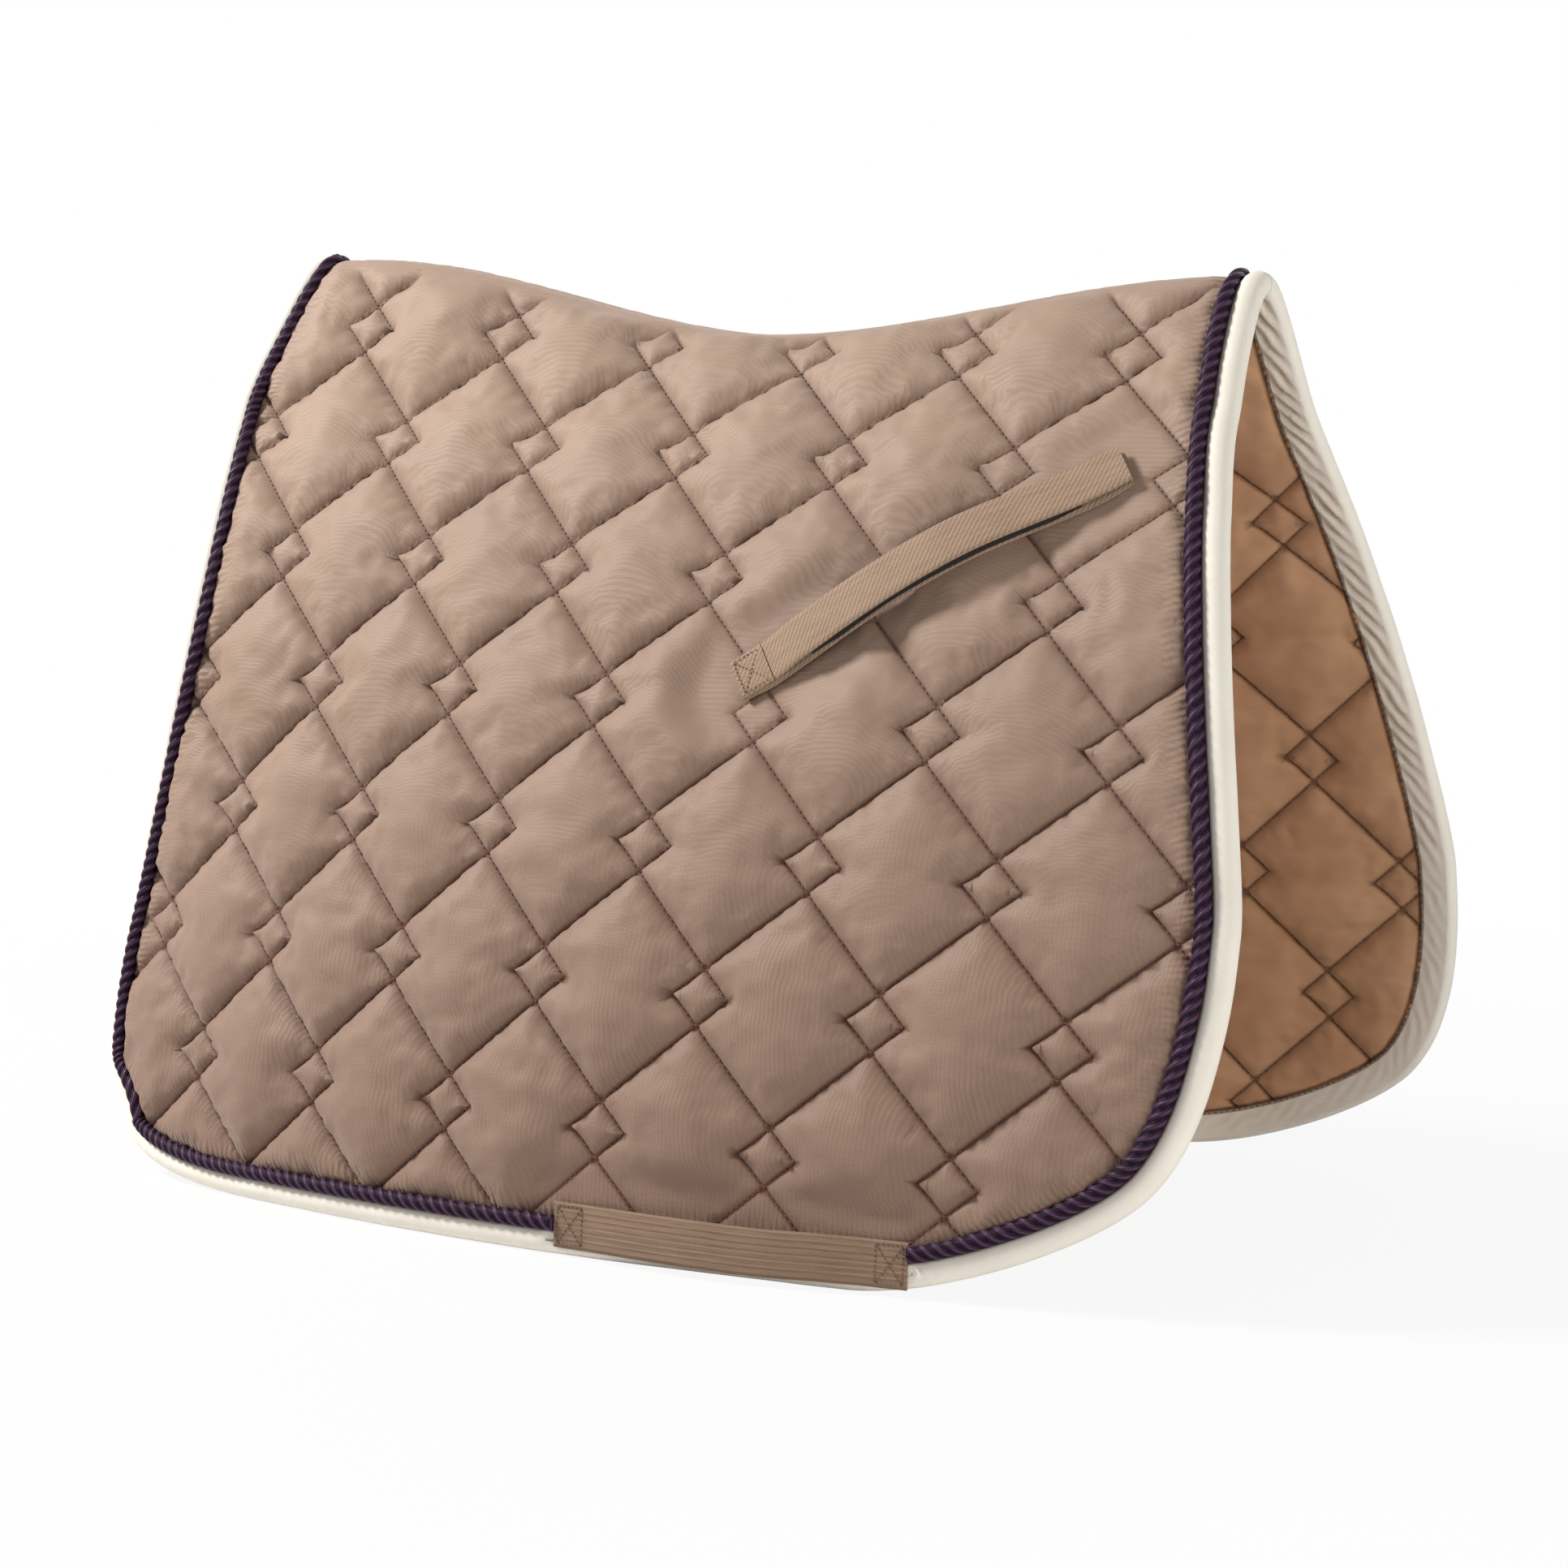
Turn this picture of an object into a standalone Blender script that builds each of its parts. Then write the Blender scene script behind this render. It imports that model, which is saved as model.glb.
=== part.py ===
"""Quilted dressage saddle pad, standing as an open arch.

The pad is drawn the way it is cut: flat panels with s along the horse (front
positive), w down the side from the fold line (negative above it) and h out of
the cloth. Every piece is modelled in those flat coordinates and then laid on
the draped surface by drape(). The model is in metres with +X to the front,
+Y to the left and +Z up, and it stands on z = 0.
"""
import math

import bmesh
import bpy
import numpy as np
from mathutils import Matrix, Vector
from mathutils.geometry import delaunay_2d_cdt, interpolate_bezier

NAME = "dressage_saddle_pad"
RIGHT = -1
LEFT = 1

# Draped surface
FOLD_HALF_WIDTH = 0.0618
FOLD_DROP = 0.0726
FOLD_SLOPE = math.radians(52.1)
FLAP_BEND_RADIUS = 0.7930
CREST_LOW_X = -0.0272
CREST_LOW_Z = -0.0256
REAR_RISE = 0.0535
REAR_RISE_RUN = 0.3058
FRONT_RISE = 0.0272
FRONT_RISE_RUN = 0.2688
CREST_PULL = 0.336
FOLD_PULL = 0.306
REAR_CURL_RADIUS = 1.3369
REAR_CURL_START = 0.0062
FRONT_CURL_RADIUS = 3.3003
FRONT_CURL_START = -0.0689
CURL_RUN = 0.3212

# Outline of the bound edge in the flat pattern
FRONT_TOP_S = 0.2674
FRONT_FOLD_S = 0.2725
FRONT_BELLY_S = 0.3210
FRONT_BELLY_W = 0.2855
FRONT_CORNER_S = 0.2879
FRONT_CORNER_W = 0.4218
BOTTOM_FRONT_S = 0.1246
BOTTOM_W = 0.4873
BOTTOM_REAR_S = -0.2939
REAR_CORNER_S = -0.4049
REAR_CORNER_W = 0.4579
REAR_BELLY_S = -0.4332
REAR_BELLY_W = 0.3994
REAR_FOLD_S = -0.4003
REAR_TOP_S = -0.3807

# Direction of the edge at its knots, and the handles that round it between them
REAR_FOLD_HEADING = math.radians(78.9)
REAR_CORNER_HEADING = math.radians(73.3)
FRONT_CORNER_HEADING = math.radians(-50.1)
FRONT_FOLD_HEADING = math.radians(-95.2)
TOP_HANDLE_SHARE = 0.34
REAR_SIDE_HANDLE = 0.1602
CORNER_HANDLE = 0.0331
REAR_CORNER_HANDLE = 0.0273
BOTTOM_HANDLE = 0.1462
BOTTOM_FRONT_HANDLE = 0.0507
FRONT_CORNER_HANDLE = 0.0400
FRONT_LOW_HANDLE = 0.0546
FRONT_SIDE_HANDLE = 0.0365

# Layers
GAP = 0.0003
LAP_GAP = 0.0005
BATTING_HALF = 0.0018
CLOTH = 0.0012
LAYER_GAP = 0.0012
COVER_CROWN = 0.0045
LINING_CROWN = 0.0032
CROWN_REACH = 0.030
SHOULDER_INSET = 0.024
CROWN_EDGE_RUN = 0.026
PRESS_MARGIN = 0.010
PRESS_RUN = 0.026
PRESS_SPRING = 0.75
CROWN_FOLD_RUN = 0.020

# Quilting: zigzag seams in alternating phase
SEAM_PITCH = 0.0516
SEAM_HALF_PERIOD = 0.0780
SEAM_AMPLITUDE = 0.0424
RIGHT_SEAM_LEAN = math.radians(3.0)
LEFT_SEAM_LEAN = math.radians(0.5)
RIGHT_QUILT_S = 0.1963
RIGHT_QUILT_W = 0.1165
LEFT_QUILT_S = 0.2361
LEFT_QUILT_W = 0.2217
COVER_PUFF_P = 0.016
COVER_PUFF_Q = 0.027
LINING_PUFF_Q = 0.036

# Edge binding and twisted cord
BINDING = 0.0012
OUTER_LAP = 0.0130
INNER_LAP = 0.0200
NOSE_RUN = 0.0042
NOSE_TIP = 0.0012
NOSE_SHOULDER = 0.75
PANEL_INSET = 0.0046
CORD_RADIUS = 0.0045
FOOT_CUT = 0.0005

# Fold joints
FOLD_AXIS_HEIGHT = 0.0060
COVER_CUT = 0.0004
BATTING_CUT = 0.00075
LINING_CUT = 0.0010
BINDING_CUT = 0.00115
CORD_CUT = 0.0050

# Billet strap
STRAP_REAR_S = 0.0215
STRAP_REAR_W = 0.1685
STRAP_LENGTH = 0.240
STRAP_RISE_ANGLE = math.radians(34.1)
STRAP_WIDTH = 0.0250
WEBBING = 0.0016
STRAP_BOW = 0.0145
STRAP_SEWN = 0.0200
TAPE = 0.0009
TAPE_WIDTH = 0.0205
TAPE_START = 0.046
TAPE_END_MARGIN = 0.030
STRAP_LIFT_RUN = 0.022
HINGE_GAP = 0.0006

# Girth keeper
KEEPER_REAR_S = -0.0485
KEEPER_FRONT_S = 0.1615
KEEPER_RISE = 0.0173
KEEPER_WIDTH = 0.0250
KEEPER_SEWN = 0.0200
KEEPER_BOW = 0.0095

# Stitching and seam tape
THREAD = 0.0013
THREAD_HEIGHT = 0.0006
STITCH_MARGIN = 0.0022
SEAM_TAPE_WIDTH = 0.0160

# Facet sizes
EDGE_STEP = 0.037
CORNER_TURN = 0.55
BATTING_STEP = 0.044
UPPER_STEPS = 12
UPPER_ROWS = (0.80, 0.59, 0.38, 0.19)
OUTLINE_SAMPLES = 40
STRAP_STEPS = 13
TAPE_STEPS = 9
SEWN_STEPS = 2
KEEPER_STEPS = 12
CORD_SIDES = 8
SHOULDER_CLEAR = 0.010
SEAM_CLEAR = 0.006
SHORTEST_SEAM = 0.04
MERGE = 0.0012
WELD = 0.00005
SHARP = math.radians(40.0)
NORMAL_STEP = 0.0004
CUTTER_SIZE = (1.2, 0.8, 0.02)

COVER_TOP = BATTING_HALF + LAYER_GAP + CLOTH
LAP_TOP = COVER_TOP + LAP_GAP + BINDING
CORD_INSET = OUTER_LAP + GAP + CORD_RADIUS
CORD_HEIGHT = COVER_TOP + LAP_GAP + CORD_RADIUS
STRAP_SEAT = COVER_TOP + 2.0 * GAP
KEEPER_W = BOTTOM_W - KEEPER_RISE


def smoothstep(u):
    """Ease from 0 to 1."""
    u = np.clip(u, 0.0, 1.0)
    return u * u * (3.0 - 2.0 * u)


def crest_height(x):
    """Height of the spine over the reference plane at x."""
    rear = smoothstep((CREST_LOW_X - x) / REAR_RISE_RUN)
    front = smoothstep((x - CREST_LOW_X) / FRONT_RISE_RUN)
    return CREST_LOW_Z + REAR_RISE * rear + FRONT_RISE * front


def curl(s):
    """Return x and how far the lower side has turned in, at length s."""
    rear = np.maximum(REAR_CURL_START - s, 0.0)
    front = np.maximum(s - FRONT_CURL_START, 0.0)
    x = s + rear ** 3 / (6.0 * REAR_CURL_RADIUS ** 2) - front ** 3 / (6.0 * FRONT_CURL_RADIUS ** 2)
    return x, rear ** 2 / (2.0 * REAR_CURL_RADIUS) + front ** 2 / (2.0 * FRONT_CURL_RADIUS)


def upper_section(x, samples=25):
    """Sample the section from the crest to the fold at each x."""
    top = crest_height(x)
    drop = top + FOLD_DROP
    pull = FOLD_PULL * np.hypot(FOLD_HALF_WIDTH, drop)
    zero = 0.0 * top
    ys = (zero, zero + CREST_PULL * FOLD_HALF_WIDTH,
          FOLD_HALF_WIDTH - pull * math.cos(FOLD_SLOPE), zero + FOLD_HALF_WIDTH)
    zs = (top, top, pull * math.sin(FOLD_SLOPE) - FOLD_DROP, zero - FOLD_DROP)
    t = np.linspace(0.0, 1.0, samples)[:, None]
    weights = ((1 - t) ** 3, 3 * t * (1 - t) ** 2, 3 * t * t * (1 - t), t ** 3)
    y = sum(weight * value[None, :] for weight, value in zip(weights, ys))
    z = sum(weight * value[None, :] for weight, value in zip(weights, zs))
    steps = np.hypot(np.diff(y, axis=0), np.diff(z, axis=0))
    length = np.concatenate([np.zeros((1, len(x))), np.cumsum(steps, axis=0)])
    return y, z, length


def crest_width(s):
    """Arc length from the crest down to the fold at length s."""
    x, _ = curl(np.atleast_1d(np.asarray(s, float)))
    return upper_section(x)[2][-1]


def surface(s, w, side):
    """Middle surface of the draped cloth."""
    x, turned = curl(s)
    y_up, z_up, length = upper_section(x)
    reach = np.clip(w + length[-1], 0.0, length[-1])
    row = np.clip((length <= reach).sum(axis=0) - 1, 0, len(length) - 2)
    column = np.arange(len(x))
    start = length[row, column]
    part = (reach - start) / (length[row + 1, column] - start)
    up_y = y_up[row, column] * (1 - part) + y_up[row + 1, column] * part
    up_z = z_up[row, column] * (1 - part) + z_up[row + 1, column] * part
    down = np.maximum(w, 0.0)
    slope = FOLD_SLOPE + down / FLAP_BEND_RADIUS
    low_y = FOLD_HALF_WIDTH + FLAP_BEND_RADIUS * (np.sin(slope) - math.sin(FOLD_SLOPE))
    low_z = -FOLD_DROP - FLAP_BEND_RADIUS * (math.cos(FOLD_SLOPE) - np.cos(slope))
    turned = turned * smoothstep(w / CURL_RUN)
    y = np.where(w < 0.0, up_y, low_y - turned * np.sin(slope))
    z = np.where(w < 0.0, up_z, low_z - turned * np.cos(slope))
    return np.stack([x, side * y, z], axis=1)


def drape(s, w, h, side):
    """Lay flat points on the draped cloth, h out along its normal.

    The normal comes from differences over a small step, and lies in the
    middle plane on the crest itself, where the two sides meet.
    """
    s, w, h, side = np.broadcast_arrays(*(np.atleast_1d(np.asarray(v, float)) for v in (s, w, h, side)))
    step = NORMAL_STEP
    top = -crest_width(s)
    along = surface(s + step, w, side) - surface(s - step, w, side)
    across = surface(s, w + step, side) - surface(s, np.maximum(w - step, top), side)
    normal = np.cross(along, across) * side[:, None]
    at_crest = w < top + 2.0 * step
    normal[at_crest, 1] = 0.0
    normal /= np.linalg.norm(normal, axis=1)[:, None]
    return surface(s, w, side) + normal * h[:, None]


def outline_knots():
    """Knots of the bound edge, rear crest to front crest.

    Each is (s, w, heading along the edge, handle before, handle after).
    """
    rear_width = float(crest_width(REAR_TOP_S)[0])
    front_width = float(crest_width(FRONT_TOP_S)[0])
    down, level, up = math.pi / 2.0, 0.0, -math.pi / 2.0
    rear_handle = TOP_HANDLE_SHARE * rear_width
    front_handle = TOP_HANDLE_SHARE * front_width
    return (
        (REAR_TOP_S, -rear_width, down, 0.0, rear_handle),
        (REAR_FOLD_S, 0.0, REAR_FOLD_HEADING, rear_handle, REAR_SIDE_HANDLE),
        (REAR_BELLY_S, REAR_BELLY_W, down, REAR_SIDE_HANDLE, CORNER_HANDLE),
        (REAR_CORNER_S, REAR_CORNER_W, REAR_CORNER_HEADING, REAR_CORNER_HANDLE, REAR_CORNER_HANDLE),
        (BOTTOM_REAR_S, BOTTOM_W, level, CORNER_HANDLE, BOTTOM_HANDLE),
        (BOTTOM_FRONT_S, BOTTOM_W, level, BOTTOM_HANDLE, BOTTOM_FRONT_HANDLE),
        (FRONT_CORNER_S, FRONT_CORNER_W, FRONT_CORNER_HEADING, FRONT_CORNER_HANDLE, FRONT_CORNER_HANDLE),
        (FRONT_BELLY_S, FRONT_BELLY_W, up, FRONT_LOW_HANDLE, FRONT_SIDE_HANDLE),
        (FRONT_FOLD_S, 0.0, FRONT_FOLD_HEADING, FRONT_SIDE_HANDLE, front_handle),
        (FRONT_TOP_S, -front_width, up, front_handle, 0.0),
    )


def level_edge(s, w):
    """Let the hanging bottom edge out a little where the side turns in."""
    _, turned = curl(s)
    slope = FOLD_SLOPE + BOTTOM_W / FLAP_BEND_RADIUS
    near_bottom = smoothstep((w - REAR_BELLY_W) / (BOTTOM_W - REAR_BELLY_W))
    return w - near_bottom * turned * math.cos(slope) / math.sin(slope)


def outline_curve():
    """Dense points of the outline with their inward normals."""
    points = []
    knots = outline_knots()
    for start, end in zip(knots[:-1], knots[1:]):
        first, last = Vector((start[0], start[1], 0.0)), Vector((end[0], end[1], 0.0))
        leave = first + start[4] * Vector((math.cos(start[2]), math.sin(start[2]), 0.0))
        arrive = last - end[3] * Vector((math.cos(end[2]), math.sin(end[2]), 0.0))
        run = interpolate_bezier(first, leave, arrive, last, OUTLINE_SAMPLES)
        points += [(p.x, p.y) for p in run[:-1]]
    points.append(knots[-1][:2])
    points = np.array(points)
    points[:, 1] = level_edge(points[:, 0], points[:, 1])
    tangent = np.gradient(points, axis=0)
    tangent /= np.linalg.norm(tangent, axis=1)[:, None]
    normal = np.stack([tangent[:, 1], -tangent[:, 0]], axis=1)
    return points, normal


OUTLINE, INWARD = outline_curve()


def stations(cut, inset):
    """Stations along the bound edge of a flap, rear fold to front fold.

    The inset moves them inwards. They are the same for every inset, so nested
    pieces have parallel facets. Both ends step from the cord's end to the
    given cut; without a cut they stop where the cord does. Returns the points
    and their inward normals.
    """
    index = np.where(OUTLINE[:, 1] > CORD_CUT)[0]
    run = OUTLINE[index].copy()
    normal = INWARD[index].copy()
    turn = np.abs(np.arctan2(np.cross(normal[:-1], normal[1:]), (normal[:-1] * normal[1:]).sum(axis=1)))
    length = np.linalg.norm(np.diff(run, axis=0), axis=1)
    total = np.concatenate([[0.0], np.cumsum(length / EDGE_STEP + turn / CORNER_TURN)])
    count = max(int(math.ceil(total[-1])), 3)
    goal = np.linspace(0.0, total[-1], count + 1)
    picked = np.stack([np.interp(goal, total, run[:, k]) for k in (0, 1)], axis=1)
    normal = np.stack([np.interp(goal, total, normal[:, k]) for k in (0, 1)], axis=1)
    normal /= np.linalg.norm(normal, axis=1)[:, None]
    for end in (0, -1):
        normal[end] = (math.copysign(1.0, normal[end, 0]), 0.0)
        picked[end, 1] = CORD_CUT
    if cut is not None:
        first, last = (edge_at(False, cut), cut), (edge_at(True, cut), cut)
        picked = np.vstack([[first], picked, [last]])
        normal = np.vstack([normal[:1], normal, normal[-1:]])
    return picked + normal * inset, normal


def edge_at(front, w):
    """Length coordinate of the bound edge near or above the fold."""
    middle = int(np.argmax(OUTLINE[:, 1]))
    line = OUTLINE[middle:] if front else OUTLINE[:middle]
    line = line[np.argsort(line[:, 1])]
    line = line[line[:, 1] < FRONT_BELLY_W / 2.0]
    return float(np.interp(w, line[:, 1], line[:, 0]))


def upper_rows(s, cut):
    """Rows of the part above the fold at s, crest first, as values of w.

    All layers share them; without a cut the last row is where the cord ends.
    """
    width = float(crest_width(s)[0])
    rows = [-width, SEAM_TAPE_WIDTH / 2.0 - width]
    rows += [-share * width for share in UPPER_ROWS] + [-CORD_CUT]
    return rows if cut is None else rows + [-cut]


def upper_edge(front, cut, inset):
    """Points of the front or rear edge on the rows above the fold.

    A row's w depends on s and the edge's s on w, so a few rounds settle both.
    """
    points = []
    for row in range(len(upper_rows(0.0, cut))):
        s = FRONT_TOP_S if front else REAR_TOP_S
        for _ in range(8):
            w = upper_rows(s, cut)[row]
            s = edge_at(front, w) + (-inset if front else inset)
        points.append((s, w))
    return points


def quilt_frame(side):
    """Centre of one small box of the quilting pattern, and its lean."""
    if side == RIGHT:
        return np.array([RIGHT_QUILT_S, RIGHT_QUILT_W]), RIGHT_SEAM_LEAN
    return np.array([LEFT_QUILT_S, LEFT_QUILT_W]), LEFT_SEAM_LEAN


def quilt_to_pattern(p, q, side):
    """Quilting coordinates (p across the seams, q along them) to (s, w)."""
    origin, lean = quilt_frame(side)
    c, n = math.cos(lean), math.sin(lean)
    return origin + np.stack([p * c - q * n, p * n + q * c], axis=-1)


def quilt_span():
    """Numbers of the seam lines and rows that reach over the whole flap."""
    near, far = min(RIGHT_QUILT_S, LEFT_QUILT_S), max(RIGHT_QUILT_S, LEFT_QUILT_S)
    high, low = max(RIGHT_QUILT_W, LEFT_QUILT_W), min(RIGHT_QUILT_W, LEFT_QUILT_W)
    rear, front = (REAR_BELLY_S - far) / SEAM_PITCH, (FRONT_BELLY_S - near) / SEAM_PITCH
    top, bottom = -high / SEAM_HALF_PERIOD, (BOTTOM_W - low) / SEAM_HALF_PERIOD
    lines = range(math.floor(rear) - 1, math.ceil(front) + 3)
    return lines, range(math.floor(top) - 1, math.ceil(bottom) + 3)


def seam_segments(side):
    """All straight seam runs over and beyond one side of the pad."""
    lines, rows = quilt_span()
    rows = np.array(rows)
    segments = []
    for line in lines:
        swing = np.where((rows + line) % 2 == 0, SEAM_AMPLITUDE, -SEAM_AMPLITUDE)
        points = quilt_to_pattern((line - 0.5) * SEAM_PITCH + swing, rows * SEAM_HALF_PERIOD, side)
        segments += [(a, b) for a, b in zip(points[:-1], points[1:])]
    return segments


def cell_points(side, rich):
    """Points between the seams that carry the puffed crowns."""
    offsets = [(0.0, 0.0), (0.0, LINING_PUFF_Q), (0.0, -LINING_PUFF_Q)]
    if rich:
        offsets = [(0.0, 0.0)]
        offsets += [(a * COVER_PUFF_P, b * COVER_PUFF_Q) for a in (1.0, -1.0) for b in (1.0, -1.0)]
    points = []
    lines, rows = quilt_span()
    for line in lines:
        for row in rows:
            if (line + row) % 2:
                p, q = line * SEAM_PITCH, row * SEAM_HALF_PERIOD
                points += [quilt_to_pattern(p + dp, q + dq, side) for dp, dq in offsets]
    return np.array(points)


def segment_distance(points, segments):
    """Distance of each point to the nearest segment."""
    start = np.array([a for a, _ in segments])
    along = np.array([b for _, b in segments]) - start
    offset = points[:, None, :] - start[None]
    t = (offset * along).sum(axis=2) / np.maximum((along * along).sum(axis=1), 1e-12)
    nearest = offset - np.clip(t, 0.0, 1.0)[..., None] * along[None]
    return np.hypot(nearest[..., 0], nearest[..., 1]).min(axis=1)


def inside(points, ring):
    """Which points lie inside the closed ring."""
    a, b = ring, np.roll(ring, -1, axis=0)
    px, py = points[:, :1], points[:, 1:]
    crosses = (a[:, 1] > py) != (b[:, 1] > py)
    rise = np.where(b[:, 1] == a[:, 1], 1.0, b[:, 1] - a[:, 1])
    at = a[:, 0] + (py - a[:, 1]) * (b[:, 0] - a[:, 0]) / rise
    return (crosses & (px < at)).sum(axis=1) % 2 == 1


def clip_segments(segments, ring):
    """Keep the parts of the segments that lie inside the ring."""
    kept = []
    a, edge = ring, np.roll(ring, -1, axis=0) - ring
    for start, end in segments:
        run = end - start
        det = run[0] * edge[:, 1] - run[1] * edge[:, 0]
        det = np.where(np.abs(det) < 1e-12, 1e-12, det)
        offset = a - start
        t = (offset[:, 0] * edge[:, 1] - offset[:, 1] * edge[:, 0]) / det
        u = (offset[:, 0] * run[1] - offset[:, 1] * run[0]) / det
        cuts = sorted(t[(u >= 0.0) & (u <= 1.0) & (t > 0.0) & (t < 1.0)])
        cuts = [0.0] + cuts + [1.0]
        for low, high in zip(cuts[:-1], cuts[1:]):
            middle = (start + run * (low + high) / 2.0)[None]
            if high - low > SHORTEST_SEAM and inside(middle, ring)[0]:
                kept.append((start + run * low, start + run * high))
    return kept


def strap_axes():
    """Rear end of the strap, its direction and its width direction."""
    origin = np.array([STRAP_REAR_S, STRAP_REAR_W])
    along = np.array([math.cos(STRAP_RISE_ANGLE), -math.sin(STRAP_RISE_ANGLE)])
    return origin, along, np.array([-along[1], along[0]])


def strap_bow(a):
    """How far the strap stands off the pad along its length."""
    return STRAP_BOW * np.sin(np.pi * np.clip(a / STRAP_LENGTH, 0.0, 1.0)) ** 2


def pressed(points):
    """Share of the crown left where straps and keepers hold the quilting down."""
    origin, along, across = strap_axes()
    a = np.clip((points - origin) @ along, 0.0, STRAP_LENGTH)
    axis = origin + a[:, None] * along
    away = np.linalg.norm(points - axis, axis=1) - STRAP_WIDTH / 2.0 - PRESS_MARGIN
    hold = 1.0 - PRESS_SPRING * np.sin(np.pi * a / STRAP_LENGTH) ** 2
    strap = 1.0 - hold * (1.0 - smoothstep(away / PRESS_RUN))
    keep_s = np.clip(points[:, 0], KEEPER_REAR_S, KEEPER_FRONT_S)
    away = np.hypot(points[:, 0] - keep_s, np.maximum(KEEPER_W - KEEPER_WIDTH / 2.0 - points[:, 1], 0.0))
    keeper = smoothstep((away - PRESS_MARGIN) / PRESS_RUN)
    return np.minimum(strap, keeper)


def panel_ring(cut, inset):
    """Edge of one cloth layer of the flap, or a ring inside it."""
    line, _ = stations(cut, inset)
    shoulder, _ = stations(cut, SHOULDER_INSET)
    top = np.linspace(shoulder[-1, 0], shoulder[0, 0], UPPER_STEPS + 1)
    if inset >= SHOULDER_INSET:
        top = top[1:-1]
    return np.vstack([line, np.stack([top, top * 0.0 + cut], axis=1)])


def crown(points, side, height):
    """Puffed height of the cloth between the seams."""
    seam = segment_distance(points, seam_segments(side))
    edge_line, _ = stations(COVER_CUT, 0.0)
    edge = segment_distance(points, [(a, b) for a, b in zip(edge_line[:-1], edge_line[1:])])
    lift = height * np.sin(np.pi / 2.0 * np.clip(seam / CROWN_REACH, 0.0, 1.0))
    lift *= smoothstep((edge - SHOULDER_INSET) / CROWN_EDGE_RUN)
    return lift * smoothstep(points[:, 1] / CROWN_FOLD_RUN)


def triangulate(points, segments, ring, shoulder, edge_line):
    """Triangles inside the ring that keep the seams and the shoulder as edges."""
    loose = points[inside(points, shoulder)]
    bound = [(a, b) for a, b in zip(shoulder, np.roll(shoulder, -1, axis=0))]
    loose = loose[segment_distance(loose, bound) > SHOULDER_CLEAR]
    if segments:
        loose = loose[segment_distance(loose, segments) > SEAM_CLEAR]
    coords = [Vector(p) for p in ring] + [Vector(p) for p in loose]
    edges = []
    for a, b in list(zip(edge_line[:-1], edge_line[1:])) + segments:
        edges.append((len(coords), len(coords) + 1))
        coords += [Vector(a), Vector(b)]
    face = [list(range(len(ring)))]
    result = delaunay_2d_cdt(coords, edges, face, 1, MERGE)
    return np.array([tuple(v) for v in result[0]]), result[2]


def place_of(obj):
    """Where an object's parent stands, summed up its chain of empties."""
    place = Vector((0.0, 0.0, 0.0))
    while obj.parent is not None:
        obj = obj.parent
        place += obj.location
    return place


def new_object(name, mesh, material, parent):
    """Add a mesh to the model, measured from the empty that carries it."""
    obj = bpy.data.objects.new(name, mesh)
    MODEL.objects.link(obj)
    mesh.materials.clear()
    mesh.materials.append(MATERIALS[material])
    obj.parent = parent
    mesh.transform(Matrix.Translation(-place_of(obj)))
    return obj


def evaluated_mesh(obj):
    """Mesh of an object with its modifiers applied; the object is removed."""
    graph = bpy.context.evaluated_depsgraph_get()
    mesh = bpy.data.meshes.new_from_object(obj.evaluated_get(graph))
    data = obj.data
    bpy.data.objects.remove(obj)
    if isinstance(data, bpy.types.Curve):
        bpy.data.curves.remove(data)
    return mesh


def thicken(name, vertices, faces, thickness):
    """Closed slab from an open flat surface, thickness downwards."""
    mesh = bpy.data.meshes.new(name)
    mesh.from_pydata([tuple(v) for v in vertices], [], [tuple(f) for f in faces])
    mesh.update()
    obj = bpy.data.objects.new(name, mesh)
    bpy.context.scene.collection.objects.link(obj)
    slab = obj.modifiers.new("Cloth thickness", "SOLIDIFY")
    slab.thickness = thickness
    slab.offset = -1.0
    bpy.context.view_layer.update()
    result = evaluated_mesh(obj)
    bpy.data.meshes.remove(mesh)
    return result


def lay_on(mesh, side, over_crest=False):
    """Drape a flat mesh and turn its faces out."""
    count = len(mesh.vertices)
    flat = np.empty(count * 3)
    mesh.vertices.foreach_get("co", flat)
    flat = flat.reshape(count, 3)
    s, w, h = flat.T
    sides = np.full(count, float(side))
    if over_crest:
        sides = np.where(w < 0.0, float(RIGHT), float(LEFT))
        w = np.abs(w) - crest_width(s)
    mesh.vertices.foreach_set("co", drape(s, w, h, sides).ravel())
    mesh.update()
    solid = bmesh.new()
    solid.from_mesh(mesh)
    bmesh.ops.remove_doubles(solid, verts=solid.verts, dist=WELD)
    if solid.calc_volume(signed=True) < 0.0:
        bmesh.ops.reverse_faces(solid, faces=solid.faces)
    solid.to_mesh(mesh)
    solid.free()
    mesh.shade_smooth()
    mesh.set_sharp_from_angle(angle=SHARP)
    return mesh


def flap_sheet(name, material, side, cut, top, thickness, crown_height, parent):
    """One cloth or wadding layer below the fold; crown_height 0 leaves it plain.

    A negative crown_height puffs the layer inwards, as the lining does.
    """
    ring = panel_ring(cut, PANEL_INSET)
    shoulder = panel_ring(cut, SHOULDER_INSET)
    if crown_height:
        segments = clip_segments(seam_segments(side), shoulder)
        loose = cell_points(side, crown_height > 0.0)
    else:
        segments = []
        reach = math.ceil(max(-REAR_BELLY_S, BOTTOM_W) / BATTING_STEP) + 1
        grid = np.arange(-reach, reach + 1) * BATTING_STEP
        loose = np.stack(np.meshgrid(grid, grid), axis=-1).reshape(-1, 2)
    edge_line, _ = stations(cut, SHOULDER_INSET)
    flat, faces = triangulate(loose, segments, ring, shoulder, edge_line)
    lift = np.zeros(len(flat))
    if crown_height:
        lift = crown(flat, side, crown_height)
        if crown_height > 0.0:
            lift *= pressed(flat)
    vertices = np.column_stack([flat, top + lift])
    mesh = thicken(name, vertices, faces, thickness)
    return new_object(name, lay_on(mesh, side), material, parent)


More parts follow.
